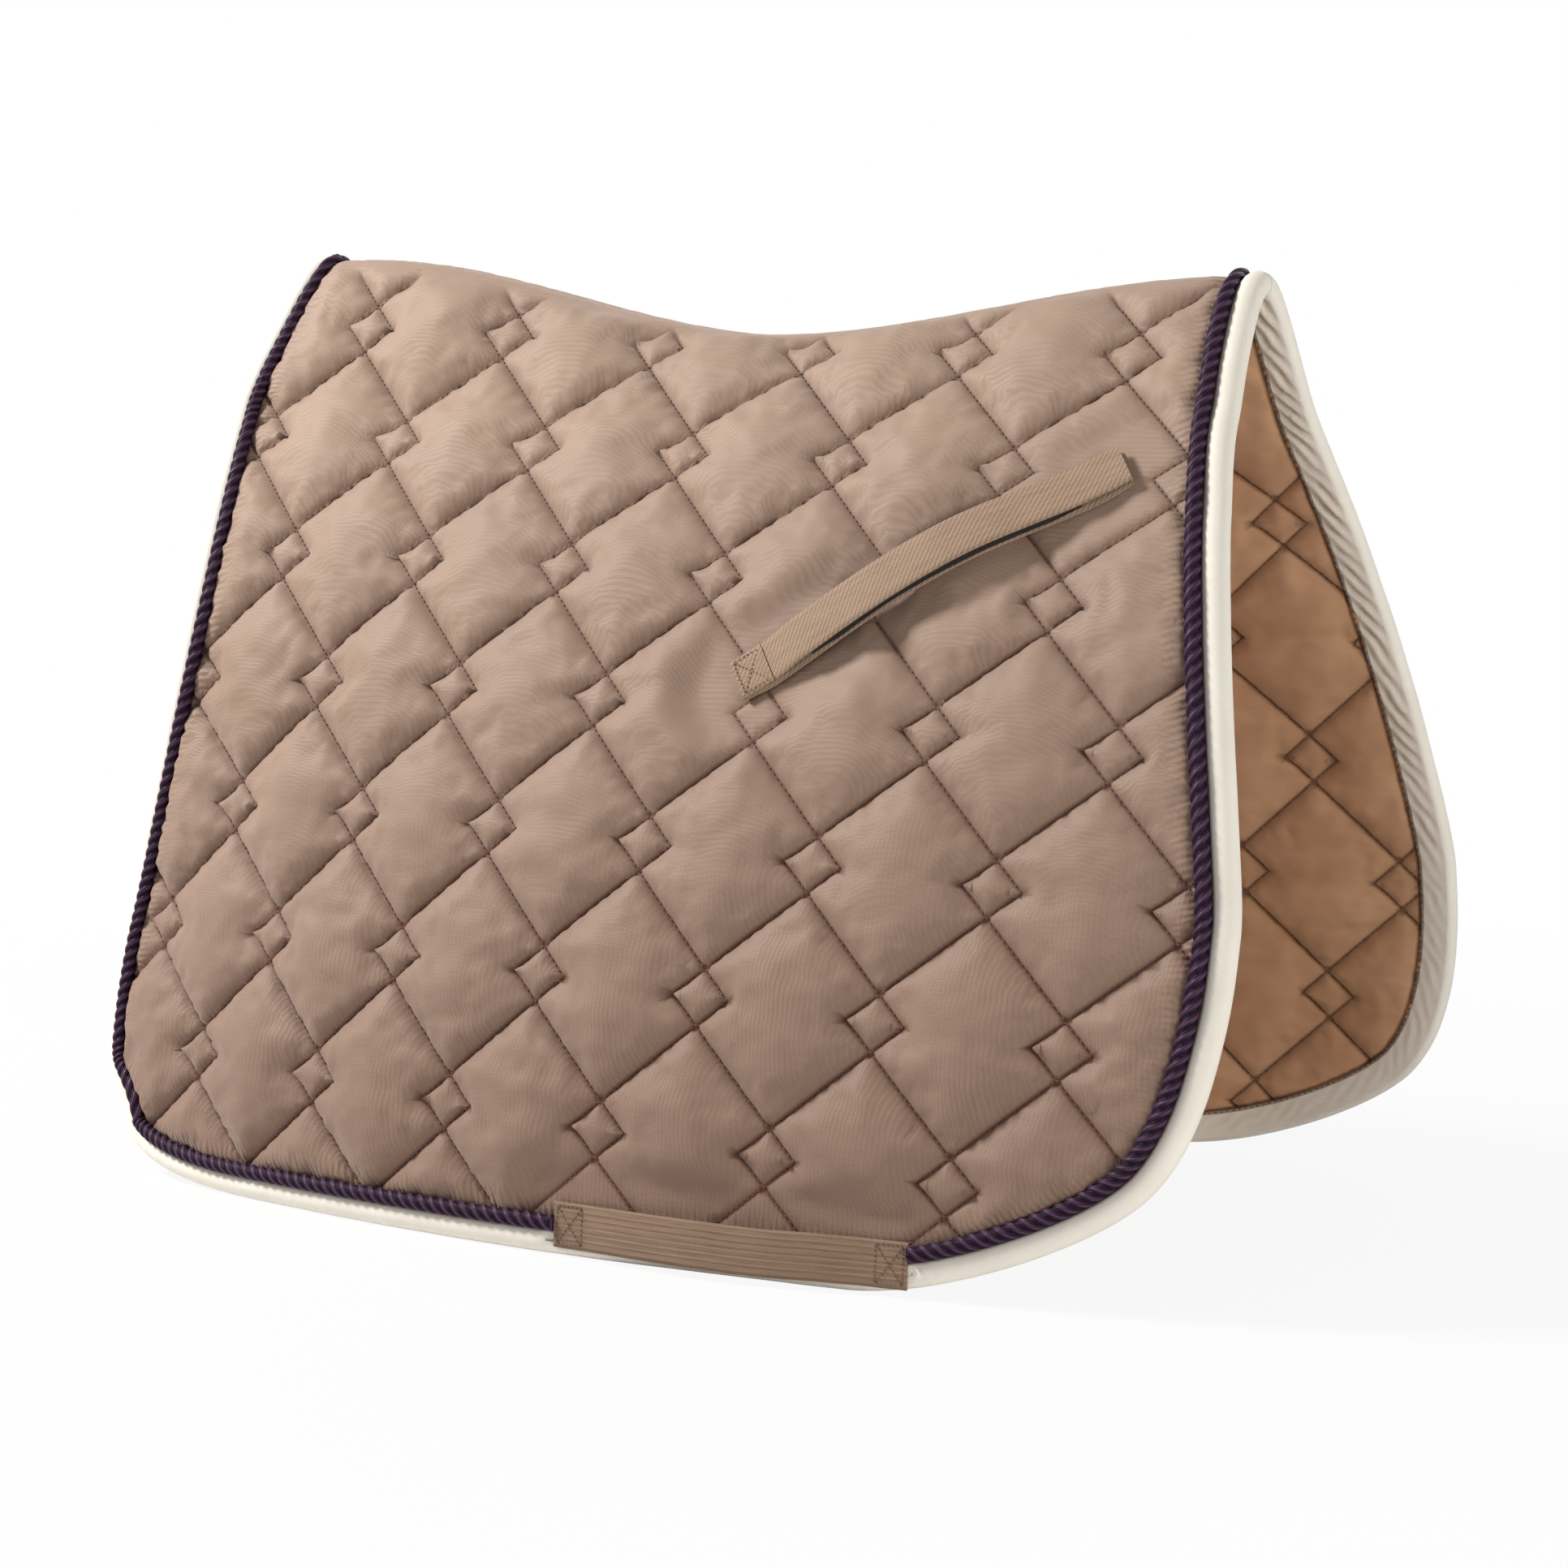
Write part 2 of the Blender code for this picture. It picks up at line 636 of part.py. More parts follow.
def upper_sheet(name, material, side, cut, top, thickness, parent):
    """One layer between the spine seam and the fold, on shared rows."""
    vertices = []
    rears, fronts = upper_edge(False, cut, PANEL_INSET), upper_edge(True, cut, PANEL_INSET)
    for row, (rear, front) in enumerate(zip(rears, fronts)):
        for s in np.linspace(rear[0], front[0], UPPER_STEPS + 1):
            w = upper_rows(s, cut)[row] + (GAP / 2.0 if row == 0 else 0.0)
            vertices.append((s, w, top))
    faces = grid_faces(len(rears), UPPER_STEPS + 1)
    mesh = thicken(name, vertices, faces, thickness)
    return new_object(name, lay_on(mesh, side), material, parent)


def grid_faces(rows, columns):
    """Quads of a grid, faces up when columns run along s and rows down w."""
    faces = []
    for row in range(rows - 1):
        for k in range(columns - 1):
            first = row * columns + k
            faces.append((first, first + 1, first + columns + 1, first + columns))
    return faces


def binding_profile():
    """Closed section of the folded binding: inset from the edge, height."""
    out, inner = LAP_TOP, LAP_TOP - BINDING
    shoulder = NOSE_SHOULDER * out
    return [(OUTER_LAP, out), (NOSE_RUN, out), (NOSE_TIP, shoulder), (0.0, 0.0), (NOSE_TIP, -shoulder),
            (NOSE_RUN, -out), (INNER_LAP, -out), (INNER_LAP, -inner), (NOSE_RUN, -inner), (BINDING, 0.0),
            (NOSE_RUN, inner), (OUTER_LAP, inner)]


def round_profile():
    """Section of the twisted cord."""
    angles = [2.0 * math.pi * k / CORD_SIDES for k in range(CORD_SIDES)]
    return [(CORD_INSET + CORD_RADIUS * math.cos(a), CORD_HEIGHT + CORD_RADIUS * math.sin(a)) for a in angles]


def edge_sweep(name, material, line, normal, profile, side, parent, over_crest=False):
    """Carry a section along the outline: a loft, because it turns with the edge."""
    solid = bmesh.new()
    rings = []
    for point, inward in zip(line, normal):
        ring = [solid.verts.new((*(point + inward * inset), height)) for inset, height in profile]
        rings.append(ring)
    count = len(profile)
    for first, second in zip(rings[:-1], rings[1:]):
        for k in range(count):
            solid.faces.new((first[k], first[(k + 1) % count], second[(k + 1) % count], second[k]))
    solid.faces.new(rings[0][::-1])
    solid.faces.new(rings[-1])
    solid.normal_update()
    bmesh.ops.triangulate(solid, faces=[f for f in solid.faces if len(f.verts) > 4])
    mesh = bpy.data.meshes.new(name)
    solid.to_mesh(mesh)
    solid.free()
    return new_object(name, lay_on(mesh, side, over_crest), material, parent)


def arch_line(front, cut):
    """Outline over the crest at one end, right fold to left fold, signed.

    The second coordinate is the arc length from the crest, right negative.
    """
    inward = np.array([-1.0 if front else 1.0, 0.0])
    edge = upper_edge(front, cut, 0.0)[::-1]
    points = [(s, w + float(crest_width(s)[0])) for s, w in edge]
    right = [(s, -reach) for s, reach in points]
    left = points[:-1][::-1]
    line = np.array(right + left)
    return line, np.tile(inward, (len(line), 1))


def strip(name, material, frame, run, width, height, thickness, side, parent, steps):
    """Flat webbing or tape between two distances along a frame's direction.

    The frame is (origin, along, across); height gives its underside.
    """
    origin, along, across = frame
    stops = [run[0] + (run[1] - run[0]) * k / steps for k in range(steps + 1)]
    vertices = []
    for edge in (-0.5, 0.5):
        for a in stops:
            point = origin + a * along + edge * width * across
            vertices.append((point[0], point[1], float(height(a)) + thickness))
    mesh = thicken(name, vertices, grid_faces(2, len(stops)), thickness)
    return new_object(name, lay_on(mesh, side), material, parent)


def stitch_plate(name, frame, at, height, size, side, parent):
    """Box-and-cross stitching: a framed cross drawn as one thin outline."""
    origin, along, across = frame
    centre = origin + at * along
    half_a, half_b = size[0] / 2.0, size[1] / 2.0
    curve = bpy.data.curves.new(name, "CURVE")
    curve.dimensions = "2D"
    curve.fill_mode = "BOTH"
    curve.extrude = THREAD_HEIGHT / 2.0
    rim_a, rim_b = half_a - THREAD, half_b - THREAD
    slant = THREAD / 2.0 * math.hypot(rim_a, rim_b)
    gap_a, gap_b = slant / rim_b, slant / rim_a
    loops = [[(-half_a, -half_b), (half_a, -half_b), (half_a, half_b), (-half_a, half_b)]]
    for sign in (1.0, -1.0):
        loops.append([(sign * (rim_a - gap_a), sign * rim_b), (sign * (gap_a - rim_a), sign * rim_b),
                      (0.0, sign * gap_b)])
        loops.append([(sign * rim_a, sign * (rim_b - gap_b)), (sign * rim_a, sign * (gap_b - rim_b)),
                      (sign * gap_a, 0.0)])
    for points in loops:
        spline = curve.splines.new("POLY")
        spline.points.add(len(points) - 1)
        for vertex, point in zip(spline.points, points):
            vertex.co = (*point, 0.0, 1.0)
        spline.use_cyclic_u = True
    obj = bpy.data.objects.new(name, curve)
    bpy.context.scene.collection.objects.link(obj)
    bpy.context.view_layer.update()
    mesh = evaluated_mesh(obj)
    solid = bmesh.new()
    solid.from_mesh(mesh)
    bmesh.ops.remove_doubles(solid, verts=solid.verts, dist=WELD)
    bmesh.ops.triangulate(solid, faces=solid.faces)
    for vertex in solid.verts:
        point = centre + vertex.co.x * along + vertex.co.y * across
        vertex.co = (point[0], point[1], height + THREAD_HEIGHT / 2.0 + vertex.co.z)
    solid.to_mesh(mesh)
    solid.free()
    return new_object(name, lay_on(mesh, side), "thread", parent)


def build_strap(side, word, flap, peel):
    """Billet strap: inner webbing, hook and loop, outer webbing on its hinge."""
    frame = strap_axes()
    full = (0.0, STRAP_LENGTH)
    sewn = (0.0, STRAP_SEWN)
    taped = (TAPE_START, STRAP_LENGTH - TAPE_END_MARGIN)
    free = (STRAP_SEWN + HINGE_GAP, STRAP_LENGTH)
    stack = WEBBING + GAP
    lifted = 2.0 * (TAPE + GAP)

    def inner(a):
        return STRAP_SEAT + strap_bow(a)

    def second(a):
        return inner(a) + stack

    def third(a):
        return second(a) + TAPE + GAP

    def outer(a):
        ease = float(smoothstep((a - free[0]) / STRAP_LIFT_RUN))
        return second(a) + lifted * ease

    def layer(name, material, run, height, parent, steps):
        width, thickness = (TAPE_WIDTH, TAPE) if material == "hook_and_loop" else (STRAP_WIDTH, WEBBING)
        strip(f"{word}_{name}", material, frame, run, width, height, thickness, side, parent, steps)

    layer("strap_inner", "webbing", full, inner, flap, STRAP_STEPS)
    layer("strap_sewn_end", "webbing", sewn, second, flap, SEWN_STEPS)
    layer("loop_tape", "hook_and_loop", taped, second, flap, TAPE_STEPS)
    layer("hook_tape", "hook_and_loop", taped, third, peel, TAPE_STEPS)
    layer("strap_outer", "webbing", free, outer, peel, STRAP_STEPS)
    size = (STRAP_SEWN - 2.0 * STITCH_MARGIN, STRAP_WIDTH - 2.0 * STITCH_MARGIN)
    rear = STRAP_SEWN / 2.0
    front = STRAP_LENGTH - STRAP_SEWN / 2.0
    stitch_plate(f"{word}_strap_stitch_rear", frame, rear, second(rear) + stack + GAP, size, side, flap)
    stitch_plate(f"{word}_strap_stitch_front", frame, front, inner(front) + stack + GAP, size, side, flap)


def build_keeper(side, word, flap):
    """Girth keeper: webbing sewn down at both ends, standing off between."""
    frame = (np.array([KEEPER_REAR_S, KEEPER_W]), np.array([1.0, 0.0]), np.array([0.0, 1.0]))
    length = KEEPER_FRONT_S - KEEPER_REAR_S

    def height(a):
        free = np.clip((a - KEEPER_SEWN) / (length - 2.0 * KEEPER_SEWN), 0.0, 1.0)
        return LAP_TOP + GAP + KEEPER_BOW * np.sin(np.pi * free)

    strip(f"{word}_girth_keeper", "webbing_dark", frame, (0.0, length), KEEPER_WIDTH, height, WEBBING, side,
          flap, KEEPER_STEPS)
    size = (KEEPER_SEWN - 2.0 * STITCH_MARGIN, KEEPER_WIDTH - 2.0 * STITCH_MARGIN)
    top = LAP_TOP + 2.0 * GAP + WEBBING
    for end, at in (("rear", KEEPER_SEWN / 2.0), ("front", length - KEEPER_SEWN / 2.0)):
        stitch_plate(f"{word}_keeper_stitch_{end}", frame, at, top, size, side, flap)


def cord_run(end):
    """Stations of one cord, from the fold to the end of the girth keeper."""
    line, normal = stations(None, 0.0)
    reach = (line + normal * CORD_INSET)[:, 0]
    low = line[:, 1] > KEEPER_W
    stop = KEEPER_REAR_S - GAP if end == "rear" else KEEPER_FRONT_S + GAP
    last = np.array([[stop, np.interp(stop, line[low, 0], line[low, 1])]])
    down = np.array([[0.0, -1.0]])
    if end == "rear":
        kept = reach < stop - CORD_RADIUS
        return np.vstack([line[kept], last]), np.vstack([normal[kept], down])
    kept = reach > stop + CORD_RADIUS
    return np.vstack([last, line[kept]]), np.vstack([down, normal[kept]])


def build_flap(side, word, flap):
    """Everything that hangs below one fold line."""
    flap_sheet(f"{word}_cover_lower", "twill", side, COVER_CUT, COVER_TOP, CLOTH, COVER_CROWN, flap)
    flap_sheet(f"{word}_batting_lower", "wadding", side, BATTING_CUT, BATTING_HALF, 2.0 * BATTING_HALF,
               0.0, flap)
    flap_sheet(f"{word}_lining_lower", "lining", side, LINING_CUT, -BATTING_HALF - LAYER_GAP, CLOTH,
               -LINING_CROWN, flap)
    line, normal = stations(BINDING_CUT, 0.0)
    edge_sweep(f"{word}_edge_binding", "binding", line, normal, binding_profile(), side, flap)
    for end in ("rear", "front"):
        line, normal = cord_run(end)
        edge_sweep(f"{word}_cord_{end}", "cord", line, normal, round_profile(), side, flap)
    build_keeper(side, word, flap)


def build_ridge(ridge):
    """Everything above the two fold lines."""
    for side, word in ((RIGHT, "right"), (LEFT, "left")):
        upper_sheet(f"{word}_cover_upper", "twill", side, COVER_CUT, COVER_TOP, CLOTH, ridge)
        half = COVER_TOP - CLOTH - GAP
        upper_sheet(f"{word}_batting_upper", "wadding", side, BATTING_CUT, half, 2.0 * half, ridge)
        upper_sheet(f"{word}_lining_upper", "lining", side, LINING_CUT, -BATTING_HALF - LAYER_GAP, CLOTH,
                    ridge)
    for word, front in (("front", True), ("rear", False)):
        line, normal = arch_line(front, BINDING_CUT)
        edge_sweep(f"{word}_arch_binding", "binding", line, normal, binding_profile(), RIGHT, ridge, True)
        line, normal = arch_line(front, None)
        edge_sweep(f"{word}_arch_cord", "cord", line, normal, round_profile(), RIGHT, ridge, True)
    build_seam_tape(ridge)


def build_seam_tape(ridge):
    """Tape along the inside of the spine seam, bent over the crest."""
    half = SEAM_TAPE_WIDTH / 2.0
    rear = REAR_TOP_S + PANEL_INSET
    step = (FRONT_TOP_S - PANEL_INSET - rear) / UPPER_STEPS
    stops = [rear + step * k for k in range(1, UPPER_STEPS)]
    top = -COVER_TOP - GAP
    vertices = [(s, u, top) for u in (-half, 0.0, half) for s in stops]
    mesh = thicken("spine_seam_tape", vertices, grid_faces(3, len(stops)), CLOTH)
    new_object("spine_seam_tape", lay_on(mesh, RIGHT, True), "binding", ridge)


def make_materials():
    """Principled materials: colour, roughness and metallic of each cloth."""
    looks = {
        "twill": ((0.37, 0.27, 0.20), 0.62), "lining": ((0.36, 0.19, 0.09), 0.88),
        "wadding": ((0.75, 0.73, 0.68), 0.95), "binding": ((0.80, 0.76, 0.65), 0.80),
        "cord": ((0.033, 0.014, 0.060), 0.55), "webbing": ((0.36, 0.24, 0.15), 0.75),
        "webbing_dark": ((0.25, 0.17, 0.11), 0.78), "hook_and_loop": ((0.012, 0.011, 0.011), 0.90),
        "thread": ((0.20, 0.13, 0.085), 0.70),
    }
    made = {}
    for key, (colour, roughness) in looks.items():
        material = bpy.data.materials.new(f"{NAME}_{key}")
        material.use_nodes = True
        shader = material.node_tree.nodes["Principled BSDF"]
        shader.inputs["Base Color"].default_value = (*colour, 1.0)
        shader.inputs["Roughness"].default_value = roughness
        shader.inputs["Metallic"].default_value = 0.0
        material.diffuse_color = (*colour, 1.0)
        made[key] = material
    return made


def fold_axis(side):
    """A point on one fold joint's axis, which runs along X."""
    return Vector(drape(0.0, 0.0, FOLD_AXIS_HEIGHT, side)[0])


def peel_axis(side):
    """Middle of the strap hinge, whose axis runs across the strap."""
    origin, along, across = strap_axes()
    base = origin + (STRAP_SEWN + HINGE_GAP / 2.0) * along
    height = STRAP_SEAT + 2.0 * (WEBBING + GAP) + float(strap_bow(STRAP_SEWN))
    ends = [base + k * STRAP_WIDTH / 2.0 * across for k in (-1.0, 1.0)]
    first, second = (drape(p[0], p[1], height, side)[0] for p in ends)
    return Vector((first + second) / 2.0)


def add_empty(name, place, parent=None):
    """An empty that marks a joint and carries its pieces."""
    empty = bpy.data.objects.new(name, None)
    empty.empty_display_size = 0.02
    MODEL.objects.link(empty)
    empty.parent = parent
    empty.location = place - place_of(empty)
    return empty


def settle(ridge):
    """Stand the pad on z = 0 over its middle by moving the empty that carries it."""
    lows, highs = [], []
    for obj in MODEL.objects:
        if obj.type != "MESH":
            continue
        corners = np.empty(len(obj.data.vertices) * 3)
        obj.data.vertices.foreach_get("co", corners)
        corners = corners.reshape(-1, 3) + np.array(place_of(obj))
        lows.append(corners.min(axis=0))
        highs.append(corners.max(axis=0))
    low, high = np.min(lows, axis=0), np.max(highs, axis=0)
    ridge.location = (-(low[0] + high[0]) / 2.0, 0.0, -low[2] - FOOT_CUT)


def cut_feet():
    """Flatten the lowest half millimetre of the bound edges, where they stand."""
    mesh = bpy.data.meshes.new("floor_cutter")
    solid = bmesh.new()
    bmesh.ops.create_cube(solid, size=1.0)
    bmesh.ops.scale(solid, vec=CUTTER_SIZE, verts=solid.verts)
    solid.to_mesh(mesh)
    solid.free()
    cutter = bpy.data.objects.new("floor_cutter", mesh)
    cutter.location.z = -CUTTER_SIZE[2] / 2.0
    CUTTERS.objects.link(cutter)
    cutter.hide_render = True
    cutter.display_type = "WIRE"
    for word in ("right", "left"):
        trim = bpy.data.objects[f"{word}_edge_binding"].modifiers.new("Flat foot", "BOOLEAN")
        trim.operation = "DIFFERENCE"
        trim.solver = "EXACT"
        trim.object = cutter


def main():
    """Build the pad in its own collection."""
    ridge = add_empty("ridge_frame", Vector((0.0, 0.0, 0.0)))
    build_ridge(ridge)
    for side, word in ((RIGHT, "right"), (LEFT, "left")):
        flap = add_empty(f"{word}_flap_fold", fold_axis(side), ridge)
        peel = add_empty(f"{word}_strap_peel", peel_axis(side), flap)
        build_flap(side, word, flap)
        build_strap(side, word, flap, peel)
    settle(ridge)
    cut_feet()
    bpy.context.view_layer.update()


for old in list(bpy.data.objects):
    bpy.data.objects.remove(old)
MODEL = bpy.data.collections.new(NAME)
CUTTERS = bpy.data.collections.new(f"{NAME}_cutters")
bpy.context.scene.collection.children.link(MODEL)
bpy.context.scene.collection.children.link(CUTTERS)
MATERIALS = make_materials()
main()
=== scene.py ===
"""Quilted dressage saddle pad, dressed over its CAD frame.

The pad is cut and sewn here the way it was for the frame: flat panels with s
along the horse (front positive), w down the side from the fold line (negative
above it) and h out of the cloth, laid on one draped surface. All lengths are
metres in the frame's own coordinates.
"""
from __future__ import annotations

import logging
import math
from dataclasses import dataclass, field
from enum import Enum
from typing import Any, Callable, Sequence

import bmesh
import bpy
import numpy as np
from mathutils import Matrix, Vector
from mathutils.geometry import delaunay_2d_cdt, interpolate_bezier

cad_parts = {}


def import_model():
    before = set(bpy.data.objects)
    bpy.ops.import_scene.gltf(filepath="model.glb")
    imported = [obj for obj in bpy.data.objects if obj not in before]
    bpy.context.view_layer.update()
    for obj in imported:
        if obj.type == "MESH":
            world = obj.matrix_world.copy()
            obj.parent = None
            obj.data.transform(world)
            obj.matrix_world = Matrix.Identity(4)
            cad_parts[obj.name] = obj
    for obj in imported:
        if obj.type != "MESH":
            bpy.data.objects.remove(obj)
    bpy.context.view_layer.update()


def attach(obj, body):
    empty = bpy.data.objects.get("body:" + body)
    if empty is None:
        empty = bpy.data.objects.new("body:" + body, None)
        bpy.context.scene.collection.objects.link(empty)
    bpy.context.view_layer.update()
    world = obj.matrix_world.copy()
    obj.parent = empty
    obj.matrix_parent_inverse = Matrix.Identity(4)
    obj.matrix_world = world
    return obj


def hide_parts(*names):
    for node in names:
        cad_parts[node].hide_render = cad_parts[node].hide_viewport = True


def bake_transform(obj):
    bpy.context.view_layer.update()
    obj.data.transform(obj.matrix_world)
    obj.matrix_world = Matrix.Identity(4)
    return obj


LOG = logging.getLogger("saddle_pad")
TURN = 2.0 * math.pi
CHUNK = 4000
Array = np.ndarray
Colour = tuple[float, float, float]
Faces = Sequence[Sequence[int]]


# ---------------------------------------------------------------- small maths
def smoothstep(u: Array | float) -> Array:
    """Ease from 0 to 1."""
    u = np.clip(u, 0.0, 1.0)
    return u * u * (3.0 - 2.0 * u)


def bell(x: Array, centre: float, width: float) -> Array:
    """Smooth hump of height 1 round a centre."""
    return np.exp(-((x - centre) / width) ** 2)


def arc_length(line: Array) -> Array:
    """Distance along a polyline at each of its points."""
    return np.concatenate([[0.0], np.cumsum(np.linalg.norm(np.diff(line, axis=0), axis=1))])


def resample(line: Array, step: float) -> Array:
    """Points at even distances along a polyline.

    Args:
        line: N x K points.
        step: distance aimed at.

    Returns:
        The new points, both ends kept.
    """
    length = arc_length(line)
    count = max(int(round(length[-1] / step)), 1)
    goal = np.linspace(0.0, length[-1], count + 1)
    return np.stack([np.interp(goal, length, line[:, k]) for k in range(line.shape[1])], axis=1)


def segment_field(points: Array, starts: Array, ends: Array) -> tuple[Array, Array, Array]:
    """Distance to the nearest of many segments.

    Args:
        points: N x 2 places.
        starts: M x 2 first ends.
        ends: M x 2 second ends.

    Returns:
        The distance, the nearest segment's number and the length along it.
    """
    distance = np.empty(len(points))
    number = np.empty(len(points), int)
    along = np.empty(len(points))
    run = ends - starts
    length = np.maximum(np.linalg.norm(run, axis=1), 1e-9)
    for first in range(0, len(points), CHUNK):
        part = points[first:first + CHUNK]
        offset = part[:, None, :] - starts[None]
        t = np.clip((offset * run).sum(axis=2) / length ** 2, 0.0, 1.0)
        gap = offset - t[..., None] * run[None]
        gap = np.hypot(gap[..., 0], gap[..., 1])
        best = gap.argmin(axis=1)
        row = np.arange(len(part))
        distance[first:first + CHUNK] = gap[row, best]
        number[first:first + CHUNK] = best
        along[first:first + CHUNK] = t[row, best] * length[best]
    return distance, number, along


def inside(points: Array, ring: Array) -> Array:
    """Which points lie inside a closed ring.

    Args:
        points: N x 2 places.
        ring: M x 2 corners.

    Returns:
        True or False for each point.
    """
    result = np.zeros(len(points), bool)
    a, b = ring, np.roll(ring, -1, axis=0)
    rise = np.where(b[:, 1] == a[:, 1], 1.0, b[:, 1] - a[:, 1])
    for first in range(0, len(points), CHUNK):
        part = points[first:first + CHUNK]
        px, py = part[:, :1], part[:, 1:]
        crosses = (a[:, 1] > py) != (b[:, 1] > py)
        at = a[:, 0] + (py - a[:, 1]) * (b[:, 0] - a[:, 0]) / rise
        result[first:first + CHUNK] = (crosses & (px < at)).sum(axis=1) % 2 == 1
    return result


def ripple(x: Array, y: Array, seed: int, size: float) -> Array:
    """Smooth seeded noise over the cloth, about -1 to 1.

    Args:
        x: first coordinate.
        y: second coordinate.
        seed: picks one pattern.
        size: length of the largest waves.

    Returns:
        One value for each point.
    """
    octaves, waves, calm = 3, 5, 1.6
    draw = np.random.default_rng(seed)
    total = np.zeros_like(x, float)
    for octave in range(octaves):
        for _ in range(waves):
            angle, phase = draw.uniform(0.0, TURN, 2)
            pitch = size / 2.0 ** octave * draw.uniform(0.75, 1.35)
            wave = TURN * (x * math.cos(angle) + y * math.sin(angle)) / pitch
            total += 0.5 ** octave * np.sin(wave + phase) / waves ** 0.5
    return total / calm


# ------------------------------------------------------------- named choices
class Side(Enum):
    """Which side of the horse a piece hangs on."""

    RIGHT = -1
    LEFT = 1

    @property
    def word(self) -> str:
        """Name used in piece and body names."""
        return self.name.lower()


class Face(Enum):
    """Which face of the pad a quilted cloth is."""

    OUTER = "outer"
    INNER = "lining"


# ------------------------------------------------------------ draped surface
@dataclass(frozen=True)
class Drape:
    """The surface the flat panels are laid on."""

    fold_half_width: float = 0.0618
    fold_drop: float = 0.0726
    fold_slope: float = math.radians(52.1)
    flap_bend_radius: float = 0.7930
    crest_low_x: float = -0.0272
    crest_low_z: float = -0.0256
    rear_rise: float = 0.0535
    rear_rise_run: float = 0.3058
    front_rise: float = 0.0272
    front_rise_run: float = 0.2688
    crest_pull: float = 0.336
    fold_pull: float = 0.306
    rear_curl_radius: float = 1.3369
    rear_curl_start: float = 0.0062
    front_curl_radius: float = 3.3003
    front_curl_start: float = -0.0689
    curl_run: float = 0.3212
    place: tuple[float, float, float] = (0.05264, 0.0, 0.52205)
    samples: int = 25

    def crest_height(self, x: Array) -> Array:
        """Height of the spine over the reference plane.

        Args:
            x: places along the horse.

        Returns:
            One height for each place.
        """
        rear = smoothstep((self.crest_low_x - x) / self.rear_rise_run)
        front = smoothstep((x - self.crest_low_x) / self.front_rise_run)
        return self.crest_low_z + self.rear_rise * rear + self.front_rise * front

    def curl(self, s: Array) -> tuple[Array, Array]:
        """How the front and rear of a side turn in.

        Args:
            s: lengths along the flat pattern.

        Returns:
            x at each length, and how far the lower side has turned in there.
        """
        rear = np.maximum(self.rear_curl_start - s, 0.0)
        front = np.maximum(s - self.front_curl_start, 0.0)
        x = s + rear ** 3 / (6.0 * self.rear_curl_radius ** 2) - front ** 3 / (6.0 * self.front_curl_radius ** 2)
        return x, rear ** 2 / (2.0 * self.rear_curl_radius) + front ** 2 / (2.0 * self.front_curl_radius)

    def section(self, x: Array) -> tuple[Array, Array, Array]:
        """Sample the section from the crest down to the fold.

        Args:
            x: N places along the horse.

        Returns:
            y, z and the length from the crest, samples x N each.
        """
        top = self.crest_height(x)
        pull = self.fold_pull * np.hypot(self.fold_half_width, top + self.fold_drop)
        zero = 0.0 * top
        ys = (zero, zero + self.crest_pull * self.fold_half_width,
              self.fold_half_width - pull * math.cos(self.fold_slope), zero + self.fold_half_width)
        zs = (top, top, pull * math.sin(self.fold_slope) - self.fold_drop, zero - self.fold_drop)
        t = np.linspace(0.0, 1.0, self.samples)[:, None]
        weights = ((1 - t) ** 3, 3 * t * (1 - t) ** 2, 3 * t * t * (1 - t), t ** 3)
        y = sum(weight * value[None, :] for weight, value in zip(weights, ys))
        z = sum(weight * value[None, :] for weight, value in zip(weights, zs))
        steps = np.hypot(np.diff(y, axis=0), np.diff(z, axis=0))
        return y, z, np.concatenate([np.zeros((1, len(x))), np.cumsum(steps, axis=0)])

    def crest_width(self, s: Array | float) -> Array:
        """Arc length from the crest down to the fold at length s."""
        x, _ = self.curl(np.atleast_1d(np.asarray(s, float)))
        return self.section(x)[2][-1]

    def middle(self, s: Array, w: Array, sign: float) -> Array:
        """Middle surface of the draped cloth.

        Args:
            s: N lengths along the flat pattern.
            w: N lengths down it.
            sign: side of the pad, as its Enum's value.

        Returns:
            N x 3 points about the reference plane.
        """
        x, turned = self.curl(s)
        y_up, z_up, length = self.section(x)
        reach = np.clip(w + length[-1], 0.0, length[-1])
        row = np.clip((length <= reach).sum(axis=0) - 1, 0, len(length) - 2)
        column = np.arange(len(x))
        start = length[row, column]
        part = (reach - start) / (length[row + 1, column] - start)
        up_y = y_up[row, column] * (1 - part) + y_up[row + 1, column] * part
        up_z = z_up[row, column] * (1 - part) + z_up[row + 1, column] * part
        radius, base = self.flap_bend_radius, self.fold_slope
        slope = base + np.maximum(w, 0.0) / radius
        low_y = self.fold_half_width + radius * (np.sin(slope) - math.sin(base))
        low_z = -self.fold_drop - radius * (math.cos(base) - np.cos(slope))
        turned = turned * smoothstep(w / self.curl_run)
        y = np.where(w < 0.0, up_y, low_y - turned * np.sin(slope))
        z = np.where(w < 0.0, up_z, low_z - turned * np.cos(slope))
        return np.stack([x, sign * y, z], axis=1)

    def lay(self, flat: Array, side: Side, step: float = 0.0008) -> Array:
        """Lay flat points on the draped cloth.

        Args:
            flat: points (s, w, h) of any shape, h out along the cloth's normal.
            side: side of the pad.
            step: distance over which the normal is measured.

        Returns:
            N x 3 points in the frame.
        """
        s, w, h = np.asarray(flat, float).reshape(-1, 3).T
        sign = float(side.value)
        top = -self.crest_width(s)
        along = self.middle(s + step, w, sign) - self.middle(s - step, w, sign)
        across = self.middle(s, w + step, sign) - self.middle(s, np.maximum(w - step, top), sign)
        normal = np.cross(along, across) * sign
        normal[w < top + 2.0 * step, 1] = 0.0
        normal /= np.linalg.norm(normal, axis=1)[:, None]
        return self.middle(s, w, sign) + normal * h[:, None] + np.array(self.place)


DRAPE = Drape()


